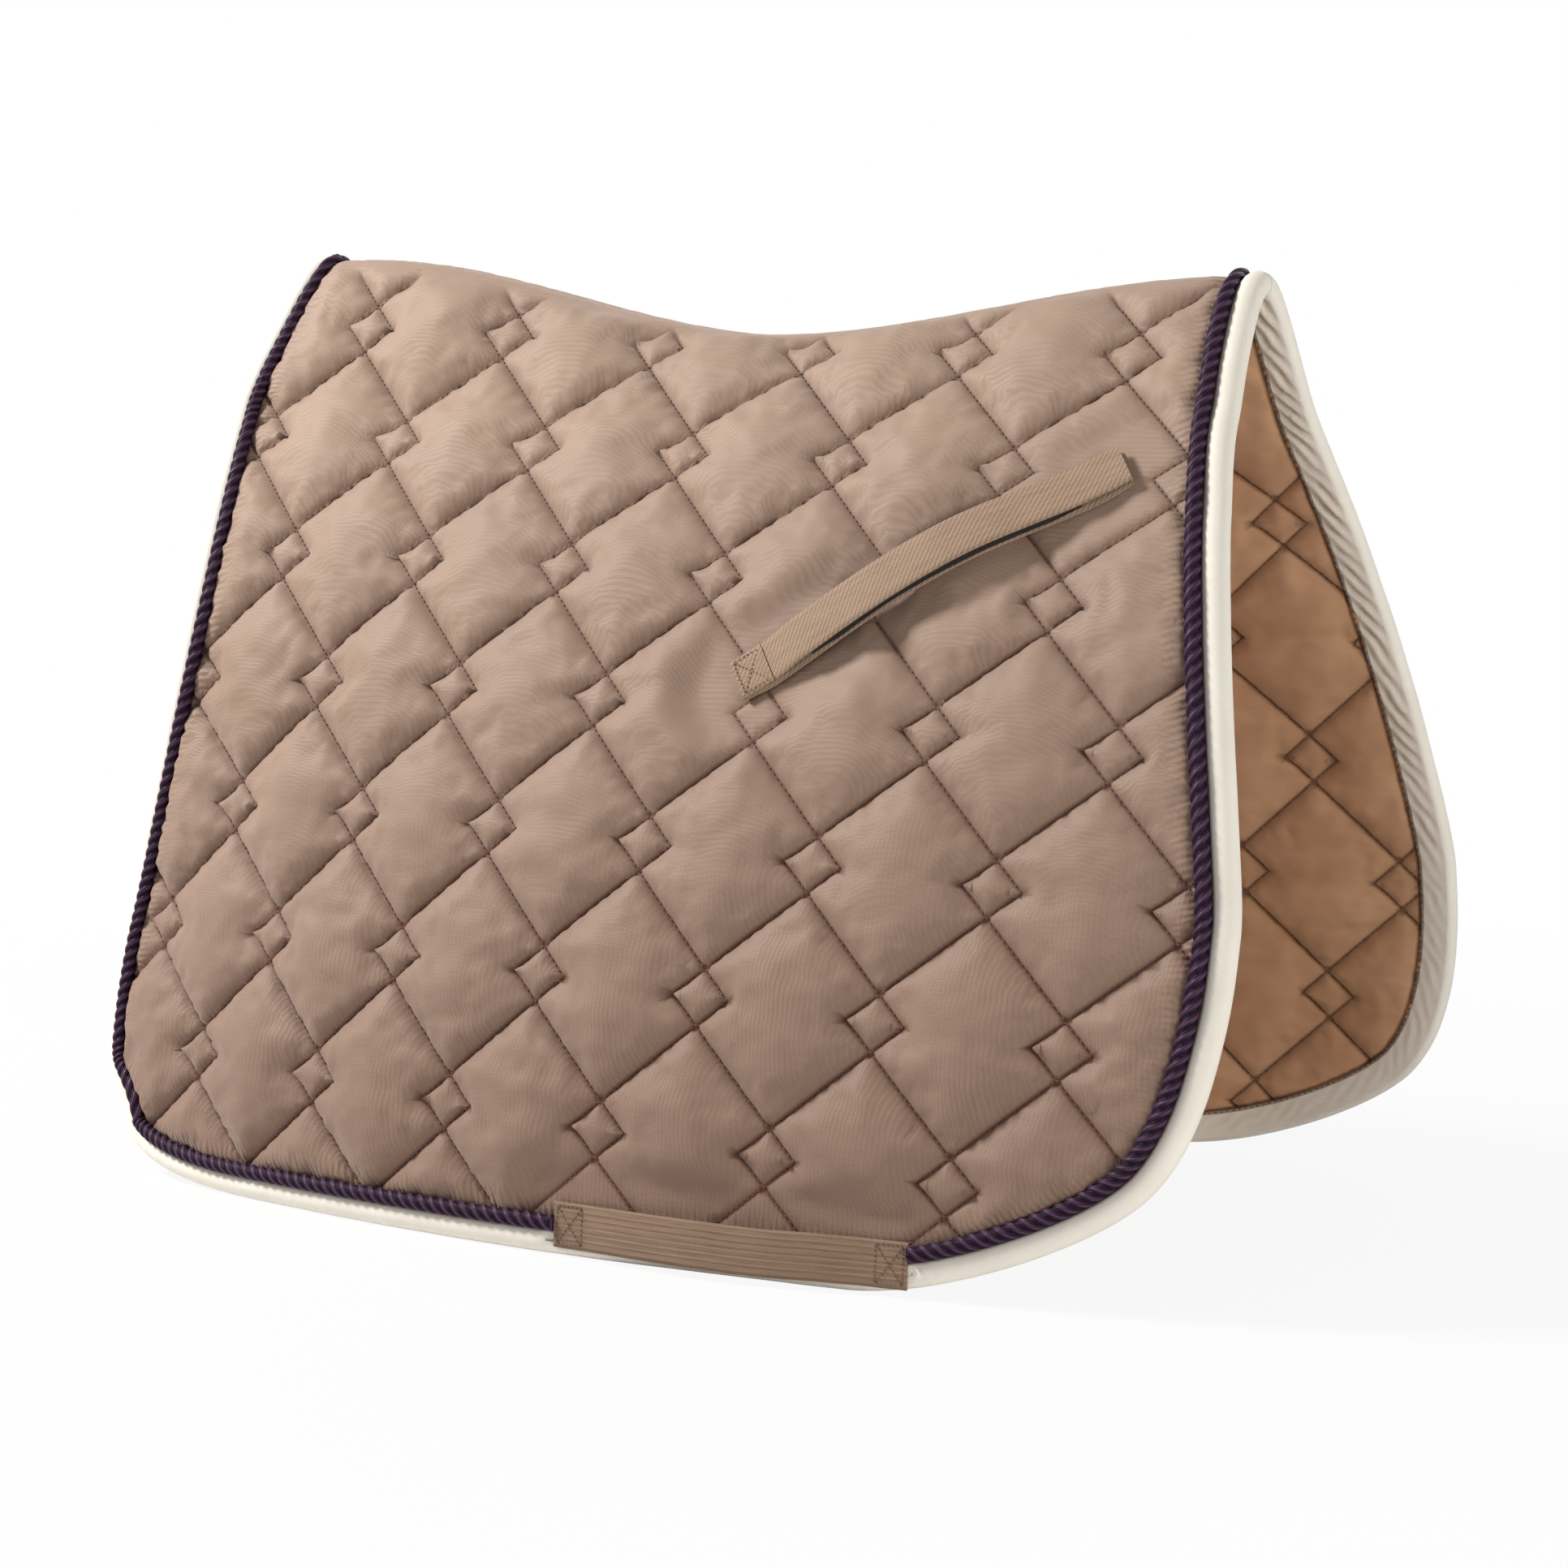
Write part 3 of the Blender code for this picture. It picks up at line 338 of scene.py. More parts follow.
@dataclass(frozen=True)
class Outline:
    """The bound edge in the flat pattern, rear crest to front crest."""

    front_top_s: float = 0.2674
    front_fold_s: float = 0.2725
    front_belly: tuple[float, float] = (0.3210, 0.2855)
    front_corner: tuple[float, float] = (0.2879, 0.4218)
    bottom_front_s: float = 0.1246
    bottom_w: float = 0.4873
    bottom_rear_s: float = -0.2939
    rear_corner: tuple[float, float] = (-0.4049, 0.4579)
    rear_belly: tuple[float, float] = (-0.4332, 0.3994)
    rear_fold_s: float = -0.4003
    rear_top_s: float = -0.3807
    rear_fold_heading: float = math.radians(78.9)
    rear_corner_heading: float = math.radians(73.3)
    front_corner_heading: float = math.radians(-50.1)
    front_fold_heading: float = math.radians(-95.2)
    top_handle_share: float = 0.34
    rear_side_handle: float = 0.1602
    corner_handle: float = 0.0331
    rear_corner_handle: float = 0.0273
    bottom_handle: float = 0.1462
    bottom_front_handle: float = 0.0507
    front_corner_handle: float = 0.0400
    front_low_handle: float = 0.0546
    front_side_handle: float = 0.0365
    samples: int = 60

    def knots(self) -> tuple[tuple[float, float, float, float, float], ...]:
        """Corners of the outline.

        Returns:
            Knots as (s, w, heading, handle before, handle after).
        """
        rear_width = float(DRAPE.crest_width(self.rear_top_s)[0])
        front_width = float(DRAPE.crest_width(self.front_top_s)[0])
        down, level, up = math.pi / 2.0, 0.0, -math.pi / 2.0
        rear_handle = self.top_handle_share * rear_width
        front_handle = self.top_handle_share * front_width
        return (
            (self.rear_top_s, -rear_width, down, 0.0, rear_handle),
            (self.rear_fold_s, 0.0, self.rear_fold_heading, rear_handle, self.rear_side_handle),
            (*self.rear_belly, down, self.rear_side_handle, self.corner_handle),
            (*self.rear_corner, self.rear_corner_heading, self.rear_corner_handle, self.rear_corner_handle),
            (self.bottom_rear_s, self.bottom_w, level, self.corner_handle, self.bottom_handle),
            (self.bottom_front_s, self.bottom_w, level, self.bottom_handle, self.bottom_front_handle),
            (*self.front_corner, self.front_corner_heading, self.front_corner_handle, self.front_corner_handle),
            (*self.front_belly, up, self.front_low_handle, self.front_side_handle),
            (self.front_fold_s, 0.0, self.front_fold_heading, self.front_side_handle, front_handle),
            (self.front_top_s, -front_width, up, front_handle, 0.0),
        )

    def curve(self, step: float) -> tuple[Array, Array]:
        """Walk along the bound edge.

        Args:
            step: distance between the points.

        Returns:
            N x 2 points and their inward normals.
        """
        points: list[tuple[float, float]] = []
        knots = self.knots()
        for start, end in zip(knots[:-1], knots[1:]):
            first, last = Vector((start[0], start[1], 0.0)), Vector((end[0], end[1], 0.0))
            leave = first + start[4] * Vector((math.cos(start[2]), math.sin(start[2]), 0.0))
            arrive = last - end[3] * Vector((math.cos(end[2]), math.sin(end[2]), 0.0))
            run = interpolate_bezier(first, leave, arrive, last, self.samples)
            points += [(p.x, p.y) for p in run[:-1]]
        points.append(knots[-1][:2])
        line = np.array(points)
        line[:, 1] = self.level(line[:, 0], line[:, 1])
        line = resample(line, step)
        tangent = np.gradient(line, axis=0)
        tangent /= np.linalg.norm(tangent, axis=1)[:, None]
        inward = np.stack([tangent[:, 1], -tangent[:, 0]], axis=1)
        inward[0], inward[-1] = (1.0, 0.0), (-1.0, 0.0)
        return line, inward

    def level(self, s: Array, w: Array) -> Array:
        """Let the hanging bottom edge out a little where the side turns in.

        Args:
            s: lengths along the flat pattern.
            w: lengths down it.

        Returns:
            The corrected w.
        """
        _, turned = DRAPE.curl(s)
        slope = DRAPE.fold_slope + self.bottom_w / DRAPE.flap_bend_radius
        low = smoothstep((w - self.rear_belly[1]) / (self.bottom_w - self.rear_belly[1]))
        return w - low * turned * math.cos(slope) / math.sin(slope)

    def ring(self, inset: float, step: float) -> Array:
        """Closed ring of one whole side.

        Args:
            inset: how far the bound edge is moved in.
            step: distance between the points.

        Returns:
            N x 2 points along the edge and back along the crest.
        """
        line, inward = self.curve(step)
        edge = line + inward * inset
        top = np.linspace(edge[-1, 0], edge[0, 0], int(abs(edge[-1, 0] - edge[0, 0]) / step))[1:-1]
        edge[[0, -1], 1] = -DRAPE.crest_width(edge[[0, -1], 0])
        return np.vstack([edge, np.column_stack([top, -DRAPE.crest_width(top)])])


OUTLINE = Outline()


@dataclass(frozen=True)
class Quilting:
    """Zigzag seams in alternating phase: large and small boxes."""

    pitch: float = 0.0516
    half_period: float = 0.0780
    amplitude: float = 0.0424
    right_lean: float = math.radians(3.0)
    left_lean: float = math.radians(0.5)
    right_origin: tuple[float, float] = (0.1963, 0.1165)
    left_origin: tuple[float, float] = (0.2361, 0.2217)
    turns: tuple[int, int] = (-6, 8)
    seams: tuple[int, int] = (-15, 6)

    def segments(self, side: Side) -> tuple[Array, Array]:
        """All straight seam runs over one side.

        Args:
            side: side of the pad, whose pattern has its own origin and lean.

        Returns:
            N x 2 starts and N x 2 ends.
        """
        right = side is Side.RIGHT
        origin = np.array(self.right_origin if right else self.left_origin)
        lean = self.right_lean if right else self.left_lean
        c, n = math.cos(lean), math.sin(lean)
        rows = np.arange(*self.turns)
        starts, ends = [], []
        for line in range(*self.seams):
            swing = np.where((rows + line) % 2 == 0, self.amplitude, -self.amplitude)
            p, q = (line - 0.5) * self.pitch + swing, rows * self.half_period
            points = origin + np.stack([p * c - q * n, p * n + q * c], axis=-1)
            starts.append(points[:-1])
            ends.append(points[1:])
        return np.vstack(starts), np.vstack(ends)


QUILT = Quilting()


# ------------------------------------------------------------- shader writing
class Value:
    """A shader number; Python operators on it add Math nodes."""

    def __init__(self, book: "NodeBook", socket: Any) -> None:
        """Keep the socket and the book it is written in."""
        self.book = book
        self.socket = socket

    def math(self, operation: str, *others: Any) -> "Value":
        """One Math node on this value and others."""
        node = self.book.node("ShaderNodeMath", {"operation": operation}, dict(enumerate((self, *others))))
        return Value(self.book, node.outputs[0])

    def reflected(self, operation: str, other: Any) -> "Value":
        """One Math node with this value second."""
        node = self.book.node("ShaderNodeMath", {"operation": operation}, {0: other, 1: self})
        return Value(self.book, node.outputs[0])

    def __add__(self, other: Any) -> "Value":
        """Sum."""
        return self.math("ADD", other)

    def __radd__(self, other: Any) -> "Value":
        """Reflected sum."""
        return self.reflected("ADD", other)

    def __sub__(self, other: Any) -> "Value":
        """Difference."""
        return self.math("SUBTRACT", other)

    def __rsub__(self, other: Any) -> "Value":
        """Reflected difference."""
        return self.reflected("SUBTRACT", other)

    def __mul__(self, other: Any) -> "Value":
        """Product."""
        return self.math("MULTIPLY", other)

    def __rmul__(self, other: Any) -> "Value":
        """Reflected product."""
        return self.reflected("MULTIPLY", other)

    def __truediv__(self, other: Any) -> "Value":
        """Quotient."""
        return self.math("DIVIDE", other)

    def __pow__(self, other: Any) -> "Value":
        """Power."""
        return self.math("POWER", other)

    def __abs__(self) -> "Value":
        """Size without sign."""
        return self.math("ABSOLUTE")

    def wave(self) -> "Value":
        """Sine of this value."""
        return self.math("SINE")

    def yarns(self, pitch: float) -> "Value":
        """Waves of one pitch along this length, -1 to 1."""
        return (self * (TURN / pitch)).wave()

    def clipped(self) -> "Value":
        """This value held between 0 and 1."""
        return Value(self.book, self.book.node("ShaderNodeClamp", {}, {"Value": self}).outputs[0])


class NodeBook:
    """Writes the nodes of a material or of the world."""

    def __init__(self, owner: Any, output: str) -> None:
        """Empty the owner's node tree and give it its output node.

        Args:
            owner: material or world.
            output: type of its output node.
        """
        owner.use_nodes = True
        self.tree = owner.node_tree
        self.tree.nodes.clear()
        self.output = self.node(output, {}, {})

    def node(self, kind: str, settings: dict[str, Any], sockets: dict[Any, Any]) -> Any:
        """Add one node.

        Args:
            kind: node type.
            settings: properties, set first.
            sockets: input values or links by name or number.

        Returns:
            The new node.
        """
        node = self.tree.nodes.new(kind)
        for key, value in settings.items():
            setattr(node, key, value)
        for key, value in sockets.items():
            self.feed(node.inputs[key], value)
        return node

    def feed(self, socket: Any, value: Any) -> None:
        """Set or link one input.

        Args:
            socket: the input.
            value: a constant, a socket or a shader number.
        """
        if isinstance(value, Value):
            value = value.socket
        if isinstance(value, bpy.types.NodeSocket):
            self.tree.links.new(value, socket)
        else:
            socket.default_value = value

    def surface(self, shader: Any) -> None:
        """Link a shader node to the output."""
        self.feed(self.output.inputs["Surface"], shader.outputs[0])

    def seen_or(self, share: Any, plain: Any, shown: Any) -> None:
        """Show one shader to the camera, mirrors and glass and keep another for the light.

        Args:
            share: how much of the shown shader is mixed in where it is seen.
            plain: shader node that lights the scene.
            shown: shader node that is seen.
        """
        ray = self.node("ShaderNodeLightPath", {}, {})
        seen = Value(self, ray.outputs["Is Camera Ray"]).math("MAXIMUM", ray.outputs["Is Glossy Ray"])
        seen = seen.math("MAXIMUM", ray.outputs["Is Transmission Ray"])
        self.surface(self.node("ShaderNodeMixShader", {}, {0: seen * share, 1: plain.outputs[0],
                                                          2: shown.outputs[0]}))


class Recipe(NodeBook):
    """Builds one Principled material from Python expressions."""

    def __init__(self, name: str, roughness: float, specular: float, sheen: float = 0.0,
                 sheen_roughness: float = 0.5) -> None:
        """Start the material with its constant sockets.

        Args:
            name: material name.
            roughness: roughness where none is worked out.
            specular: specular level.
            sheen: sheen weight.
            sheen_roughness: how wide the sheen spreads.
        """
        self.material = bpy.data.materials.new(name)
        super().__init__(self.material, "ShaderNodeOutputMaterial")
        self.shader = self.node("ShaderNodeBsdfPrincipled", {}, {
            "Roughness": roughness, "Metallic": 0.0, "Specular IOR Level": specular, "Sheen Weight": sheen,
            "Sheen Roughness": sheen_roughness})
        self.surface(self.shader)

    def attribute(self, name: str) -> Any:
        """Attribute node of a named mesh attribute."""
        return self.node("ShaderNodeAttribute", {"attribute_name": name}, {})

    def number(self, name: str) -> Value:
        """A mesh attribute as a number."""
        return Value(self, self.attribute(name).outputs["Fac"])

    def flat(self) -> tuple[Any, Value, Value, Value]:
        """The flat pattern coordinates.

        Returns:
            The vector, s, w and h.
        """
        vector = self.attribute("flat").outputs["Vector"]
        parts = self.node("ShaderNodeSeparateXYZ", {}, {0: vector})
        return vector, *(Value(self, parts.outputs[k]) for k in range(3))

    def noise(self, vector: Any, scale: float, detail: float, rough: float = 0.55) -> Value:
        """Even noise.

        Args:
            vector: coordinates.
            scale: lumps a metre.
            detail: finer layers.
            rough: how strong the finer layers are.

        Returns:
            A value from 0 to 1.
        """
        node = self.node("ShaderNodeTexNoise", {"noise_dimensions": "3D"},
                         {"Vector": vector, "Scale": scale, "Detail": detail, "Roughness": rough})
        return Value(self, node.outputs[0])

    def grain(self, vector: Any, scales: tuple[float, float, float], detail: float = 2.0,
              rough: float = 0.55) -> Value:
        """Noise with its own scale in each direction.

        Args:
            vector: coordinates.
            scales: lumps a metre along s, w and h.
            detail: finer layers.
            rough: how strong the finer layers are.

        Returns:
            A value from 0 to 1.
        """
        drawn = self.node("ShaderNodeVectorMath", {"operation": "MULTIPLY"}, {0: vector, 1: scales})
        return self.noise(drawn.outputs[0], 1.0, detail, rough)

    def mix(self, factor: Any, first: Any, second: Any, blend: str = "MIX") -> Any:
        """Mix two colours.

        Args:
            factor: share of the second.
            first: colour or socket.
            second: colour or socket.
            blend: blend type.

        Returns:
            The colour's socket.
        """
        colours = [(*colour, 1.0) if isinstance(colour, tuple) else colour for colour in (first, second)]
        node = self.node("ShaderNodeMix", {"data_type": "RGBA", "blend_type": blend},
                         {0: factor, 6: colours[0], 7: colours[1]})
        return node.outputs[2]

    def bump(self, height: Value, distance: float, strength: float = 1.0) -> None:
        """Bump the surface by a height of 0 to 1 times a distance."""
        node = self.node("ShaderNodeBump", {}, {"Height": height, "Distance": distance, "Strength": strength})
        self.feed(self.shader.inputs["Normal"], node.outputs[0])

    def dress(self, colour: Any, roughness: Any = None) -> bpy.types.Material:
        """Link colour and roughness and hand over the material.

        Args:
            colour: the colour's socket.
            roughness: a shader number, or nothing where it is the same all over.

        Returns:
            The material.
        """
        self.feed(self.shader.inputs["Base Color"], colour)
        if roughness is not None:
            self.feed(self.shader.inputs["Roughness"], roughness)
        return self.material


@dataclass(frozen=True)
class TwillFinish:
    """Smooth rib-woven outer cloth with a slight sheen and painted shade in grooves, gathers and low down."""

    name: str = "outer_twill"
    lit: Colour = (0.412, 0.288, 0.215)
    shade: Colour = (0.314, 0.214, 0.158)
    # Painted shade colour, multiplied in towards the bottom of the flap.
    low: Colour = (0.650, 0.580, 0.563)
    # Painted shade colour for the quilting grooves.
    groove: Colour = (0.096, 0.028, 0.011)
    rib: float = 0.0031
    rib_rise: float = 0.0016
    upright: float = 0.0027
    upright_rise: float = 0.0040
    yarn: float = 0.0011
    yarn_sway: float = 0.019
    pick: float = 0.0013
    gather: float = 0.0041
    gather_slant: float = 0.021
    gather_inset: float = 0.0235
    gather_reach: float = 0.0125
    low_start: float = 0.20

    def material(self) -> bpy.types.Material:
        """Build the cloth.

        Returns:
            The material.
        """
        book = Recipe(self.name, 0.58, 0.32, 0.18, 0.45)
        vector, s, w, h = book.flat()
        drift = (book.grain(vector, (9.0, 9.0, 0.0)) - 0.5) * 2.2
        low = ((w - self.low_start) * 8.0).clipped()
        contour = (w * (TURN / self.rib) + h * (TURN / self.rib_rise) + drift * 4.0).wave() * (1.0 - low * 0.75)
        upright = (s * (TURN / self.upright) + h * (TURN / self.upright_rise) + drift * 2.0).wave()
        patch = (book.grain(vector, (22.0, 22.0, 0.0)) * 2.4 - 0.6).clipped()
        contour = contour * patch + upright * (low * 0.8 + 0.1) * (1.25 - patch)
        yarns = (w * (TURN / self.yarn) + s.yarns(self.yarn_sway) * 0.35).wave()
        cloud = book.noise(vector, 14.0, 4.0) - 0.5
        fine = book.grain(vector, (900.0, 1500.0, 0.0)) - 0.5
        edge = book.number("edge")
        beside = (1.0 - abs(edge - self.gather_inset) * (1.0 / self.gather_reach)).clipped()
        drawn = beside * (book.noise(vector, 9.0, 1.0) * 2.2 - 0.35).clipped()
        gather = book.number("edge_run") * (TURN / self.gather) + edge * (TURN / self.gather_slant) + drift * 3.0
        gather = gather.wave() * drawn
        # Painted shade: the edge gathers are painted lighter on their crests and darker in their troughs, besides
        # their bump.
        tone = (0.5 + cloud * 0.8 + contour * 0.24 + fine * 0.35 + gather * 0.35).clipped()
        body = book.mix(tone, self.shade, self.lit)
        # Painted shade: the cloth is darkened towards the bottom of the flap.
        body = book.mix((w * 2.0).clipped() * 0.9, body, self.low, "MULTIPLY")
        # Painted shade: the quilting grooves are darkened towards the groove colour, a little more towards the
        # bottom.
        groove_shade_mix = (book.number("groove") * (0.78 + low * 0.22)).clipped()
        weave = 0.5 + contour * 0.30 + yarns * 0.14 + s.yarns(self.pick) * 0.07 + fine * 0.3
        book.bump(weave + gather * 1.9, 0.00022, 0.8)
        return book.dress(book.mix(groove_shade_mix, body, self.groove), 0.62 - contour * 0.03 + fine * 0.10)


@dataclass(frozen=True)
class LiningFinish:
    """Warm tan cotton lining with soft folds, painted shade in its seams and folds, and a dark line beside the
    binding.
    """

    name: str = "tan_lining"
    lit: Colour = (0.673, 0.407, 0.243)
    shade: Colour = (0.549, 0.310, 0.173)
    # Painted shade colour of the seams, also used for the dark line beside the binding.
    groove: Colour = (0.150, 0.071, 0.032)
    yarn: float = 0.0012
    seam_inset: float = 0.0208
    seam_half: float = 0.0021

    def material(self) -> bpy.types.Material:
        """Build the cloth.

        Returns:
            The material.
        """
        book = Recipe(self.name, 0.85, 0.2, 0.12, 0.5)
        vector, s, w, _ = book.flat()
        cloud = book.noise(vector, 18.0, 5.0) - 0.5
        slub = book.grain(vector, (60.0, 900.0, 0.0)) - 0.5
        # Painted shade: the soft folds are painted lighter and darker in the colour as well as bumped.
        folds = ((book.grain(vector, (6.0, 36.0, 0.0)) - 0.5) * 3.0 + 0.5).clipped()
        tone = (0.5 + cloud * 0.9 + slub * 0.4 + (folds - 0.5) * 0.7).clipped()
        beside = (1.0 - abs(book.number("edge") - self.seam_inset) * (1.0 / self.seam_half)).clipped()
        # Painted shade along the quilting seams, plus a dark line along the binding's inner edge.
        dark = (book.number("groove") + beside * 1.1).clipped()
        weave = s.yarns(self.yarn) * w.yarns(self.yarn)
        book.bump(0.5 + weave * 0.25 + slub * 0.4 + folds * 11.0, 0.0002, 0.8)
        return book.dress(book.mix(dark, book.mix(tone, self.shade, self.lit), self.groove), 0.88 - slub * 0.12)


@dataclass(frozen=True)
class WaddingFinish:
    """Fluffy white batting inside the quilting."""

    name: str = "wadding"
    light: Colour = (0.78, 0.77, 0.73)
    dark: Colour = (0.66, 0.64, 0.59)

    def material(self) -> bpy.types.Material:
        """Build the fibre.

        Returns:
            The material.
        """
        book = Recipe(self.name, 0.95, 0.1)
        vector, *_ = book.flat()
        fibre = book.grain(vector, (300.0, 420.0, 300.0), 6.0, 0.7)
        book.bump(fibre, 0.0008)
        return book.dress(book.mix(fibre, self.dark, self.light))


@dataclass(frozen=True)
class BindingFinish:
    """Cream folded binding with a soft satin face and painted shade in the valleys of its gathers."""

    name: str = "cream_binding"
    light: Colour = (0.94, 0.905, 0.820)
    dark: Colour = (0.80, 0.740, 0.630)
    # Painted shade colour for the valleys of the gathers.
    valley: Colour = (0.56, 0.425, 0.290)
    seam: Colour = (0.13, 0.065, 0.030)
    twill: float = 0.0016

    def material(self) -> bpy.types.Material:
        """Build the binding; its flat s runs along the tape and w across it.

        Returns:
            The material.
        """
        book = Recipe(self.name, 0.70, 0.3, 0.15, 0.4)
        vector, s, w, _ = book.flat()
        twill = (s + w).yarns(self.twill)
        cloud = book.noise(vector, 30.0, 4.0) - 0.5
        fine = book.grain(vector, (1500.0, 900.0, 0.0)) - 0.5
        tone = (0.82 + cloud * 0.7 + twill * 0.05 + fine * 0.25).clipped()
        colour = book.mix(tone, self.dark, self.light)
        # Painted shade: the crown attribute holds how deep each point lies in a gather's valley.
        colour = book.mix((book.number("crown") * 0.8).clipped(), colour, self.valley)
        colour = book.mix(book.number("groove").clipped(), colour, self.seam)
        book.bump(0.5 + twill * 0.22 + fine * 0.4, 0.0002, 0.7)
        return book.dress(colour, 0.72 - fine * 0.12)


@dataclass(frozen=True)
class CordFinish:
    """Dark aubergine twisted cord of fine, slightly shiny yarns, with painted highlights on the strand crests and
    painted shade between them.
    """

    name: str = "aubergine_cord"
    # Painted highlight colour for the strand crests, and painted shade colour between the strands.
    light: Colour = (0.146, 0.071, 0.142)
    dark: Colour = (0.012, 0.004, 0.014)
    yarns: float = 5.0
    yarn_lay: float = 0.0042

    def material(self) -> bpy.types.Material:
        """Build the cord; its flat s is the place across a strand and w the length.

        Returns:
            The material.
        """
        book = Recipe(self.name, 0.5, 0.10)
        vector, s, w, _ = book.flat()
        yarn = (s * (TURN * self.yarns) + w * (TURN / self.yarn_lay)).wave()
        crown = book.number("crown")
        fine = book.grain(vector, (6.0, 700.0, 0.0), 3.0) - 0.5
        # Painted highlight on each strand's crest, painted shade between the strands.
        tone = (crown ** 5.0 * (0.62 + yarn * 0.24) + fine * 0.35).clipped()
        book.bump(0.5 + yarn * 0.4 + fine * 0.3, 0.0003, 0.8)
        return book.dress(book.mix(tone, self.dark, self.light), 0.55 - crown * 0.18)


@dataclass(frozen=True)
class WebbingFinish:
    """Woven strap: slanting ribs between two flat selvedges."""

    name: str
    light: Colour
    dark: Colour
    half_width: float = 0.0125
    rib: float = 0.0034
    slant: float = 1.0
    picks: float = 0.08
    end_pitch: float = 0.0017
    pick_pitch: float = 0.0011

    def material(self) -> bpy.types.Material:
        """Build the webbing; its flat s runs along and w across the strap.

        Returns:
            The material.
        """
        book = Recipe(self.name, 0.72, 0.3, 0.15, 0.4)
        vector, s, w, _ = book.flat()
        ribs = (s * self.slant + w).yarns(self.rib)
        ends = w.yarns(self.end_pitch)
        fine = book.grain(vector, (500.0, 1200.0, 0.0), 3.0) - 0.5
        streak = book.grain(vector, (45.0, 500.0, 0.0), 3.0) - 0.5
        selvedge = (abs(w) / self.half_width - 0.9).clipped()
        tone = (0.5 + ribs * 0.17 + ends * 0.06 + streak * 0.9 + fine * 0.35 - selvedge * 2.0).clipped()
        picks = s.yarns(self.pick_pitch) * self.picks
        book.bump(0.5 + ribs * 0.3 + ends * 0.15 + picks + fine * 0.25, 0.0004, 0.8)
        return book.dress(book.mix(tone, self.dark, self.light), 0.76 - ribs * 0.04)


@dataclass(frozen=True)
class TapeFinish:
    """Hook-and-loop tape: a black pile of fine loops."""

    name: str = "hook_and_loop"
    light: Colour = (0.060, 0.056, 0.054)
    dark: Colour = (0.006, 0.006, 0.006)

    def material(self) -> bpy.types.Material:
        """Build the tape.

        Returns:
            The material.
        """
        book = Recipe(self.name, 0.90, 0.2)
        vector, *_ = book.flat()
        pile = book.grain(vector, (1400.0, 1400.0, 400.0), 4.0, 0.7)
        book.bump(pile, 0.0006)
        return book.dress(book.mix(pile, self.dark, self.light))


@dataclass(frozen=True)
class ThreadFinish:
    """Sewing thread, plied."""

    name: str
    light: Colour
    dark: Colour
    ply: float = 0.0009

    def material(self) -> bpy.types.Material:
        """Build the thread.

        Returns:
            The material.
        """
        book = Recipe(self.name, 0.55, 0.35, 0.2)
        vector, s, w, _ = book.flat()
        ply = (s * 1.3 + w).yarns(self.ply)
        fine = book.grain(vector, (700.0, 700.0, 0.0)) - 0.5
        book.bump(0.5 + ply * 0.4, 0.00012)
        return book.dress(book.mix((0.5 + ply * 0.3 + fine * 0.6).clipped(), self.dark, self.light))


@dataclass(frozen=True)
class FloorFinish:
    """Pale studio floor that reads white to the camera and keeps a soft shadow."""

    name: str = "studio_floor"
    light: Colour = (0.78, 0.78, 0.78)
    dark: Colour = (0.74, 0.74, 0.74)
    glow: float = 0.91
    near: float = 0.45
    fade: float = 0.9

    def material(self) -> bpy.types.Material:
        """Build the floor.

        Returns:
            The material.
        """
        book = Recipe(self.name, 0.9, 0.1)
        spot = book.node("ShaderNodeTexCoord", {}, {}).outputs["Object"]
        book.dress(book.mix(book.noise(spot, 6.0, 4.0), self.dark, self.light))
        white = book.node("ShaderNodeEmission", {}, {"Color": (1.0, 1.0, 1.0, 1.0), "Strength": 1.0})
        reach = book.node("ShaderNodeVectorMath", {"operation": "LENGTH"}, {0: spot}).outputs["Value"]
        far = ((Value(book, reach) - self.near) / self.fade).clipped()
        book.seen_or(self.glow + far * (1.0 - self.glow), book.shader, white)
        return book.material


# ------------------------------------------------------------------- meshing
@dataclass(frozen=True)
class Dress:
    """What a piece wears: a material, and a slot name that nothing reads."""

    material: bpy.types.Material
    slot: str


def make_piece(name: str, points: Array, faces: Faces, flat: Array, dress: Dress,
               numbers: dict[str, Array] | None = None) -> bpy.types.Object:
    """Make a piece with its flat coordinates kept as a mesh attribute.

    Args:
        name: the piece's name.
        points: N x 3 places in the frame.
        faces: vertex numbers of each face.
        flat: N x 3 flat pattern coordinates for the materials.
        dress: material, and a slot name that is not used.
        numbers: further mesh attributes, one value for each point.

    Returns:
        The object, linked to the scene.
    """
    mesh = bpy.data.meshes.new(name)
    mesh.from_pydata(points.tolist(), [], [list(face) for face in faces])
    mesh.update()
    layer = mesh.attributes.new("flat", "FLOAT_VECTOR", "POINT")
    layer.data.foreach_set("vector", np.asarray(flat, np.float32).ravel())
    for key, values in (numbers or {}).items():
        layer = mesh.attributes.new(key, "FLOAT", "POINT")
        layer.data.foreach_set("value", np.asarray(values, np.float32))
    solid = bmesh.new()
    solid.from_mesh(mesh)
    if solid.calc_volume(signed=True) < 0.0:
        bmesh.ops.reverse_faces(solid, faces=solid.faces)
        solid.to_mesh(mesh)
    solid.free()
    mesh.shade_smooth()
    mesh.materials.append(dress.material)
    obj = bpy.data.objects.new(name, mesh)
    bpy.context.scene.collection.objects.link(obj)
    LOG.info("%s: %d points, %d faces", name, len(points), len(faces))
    return obj


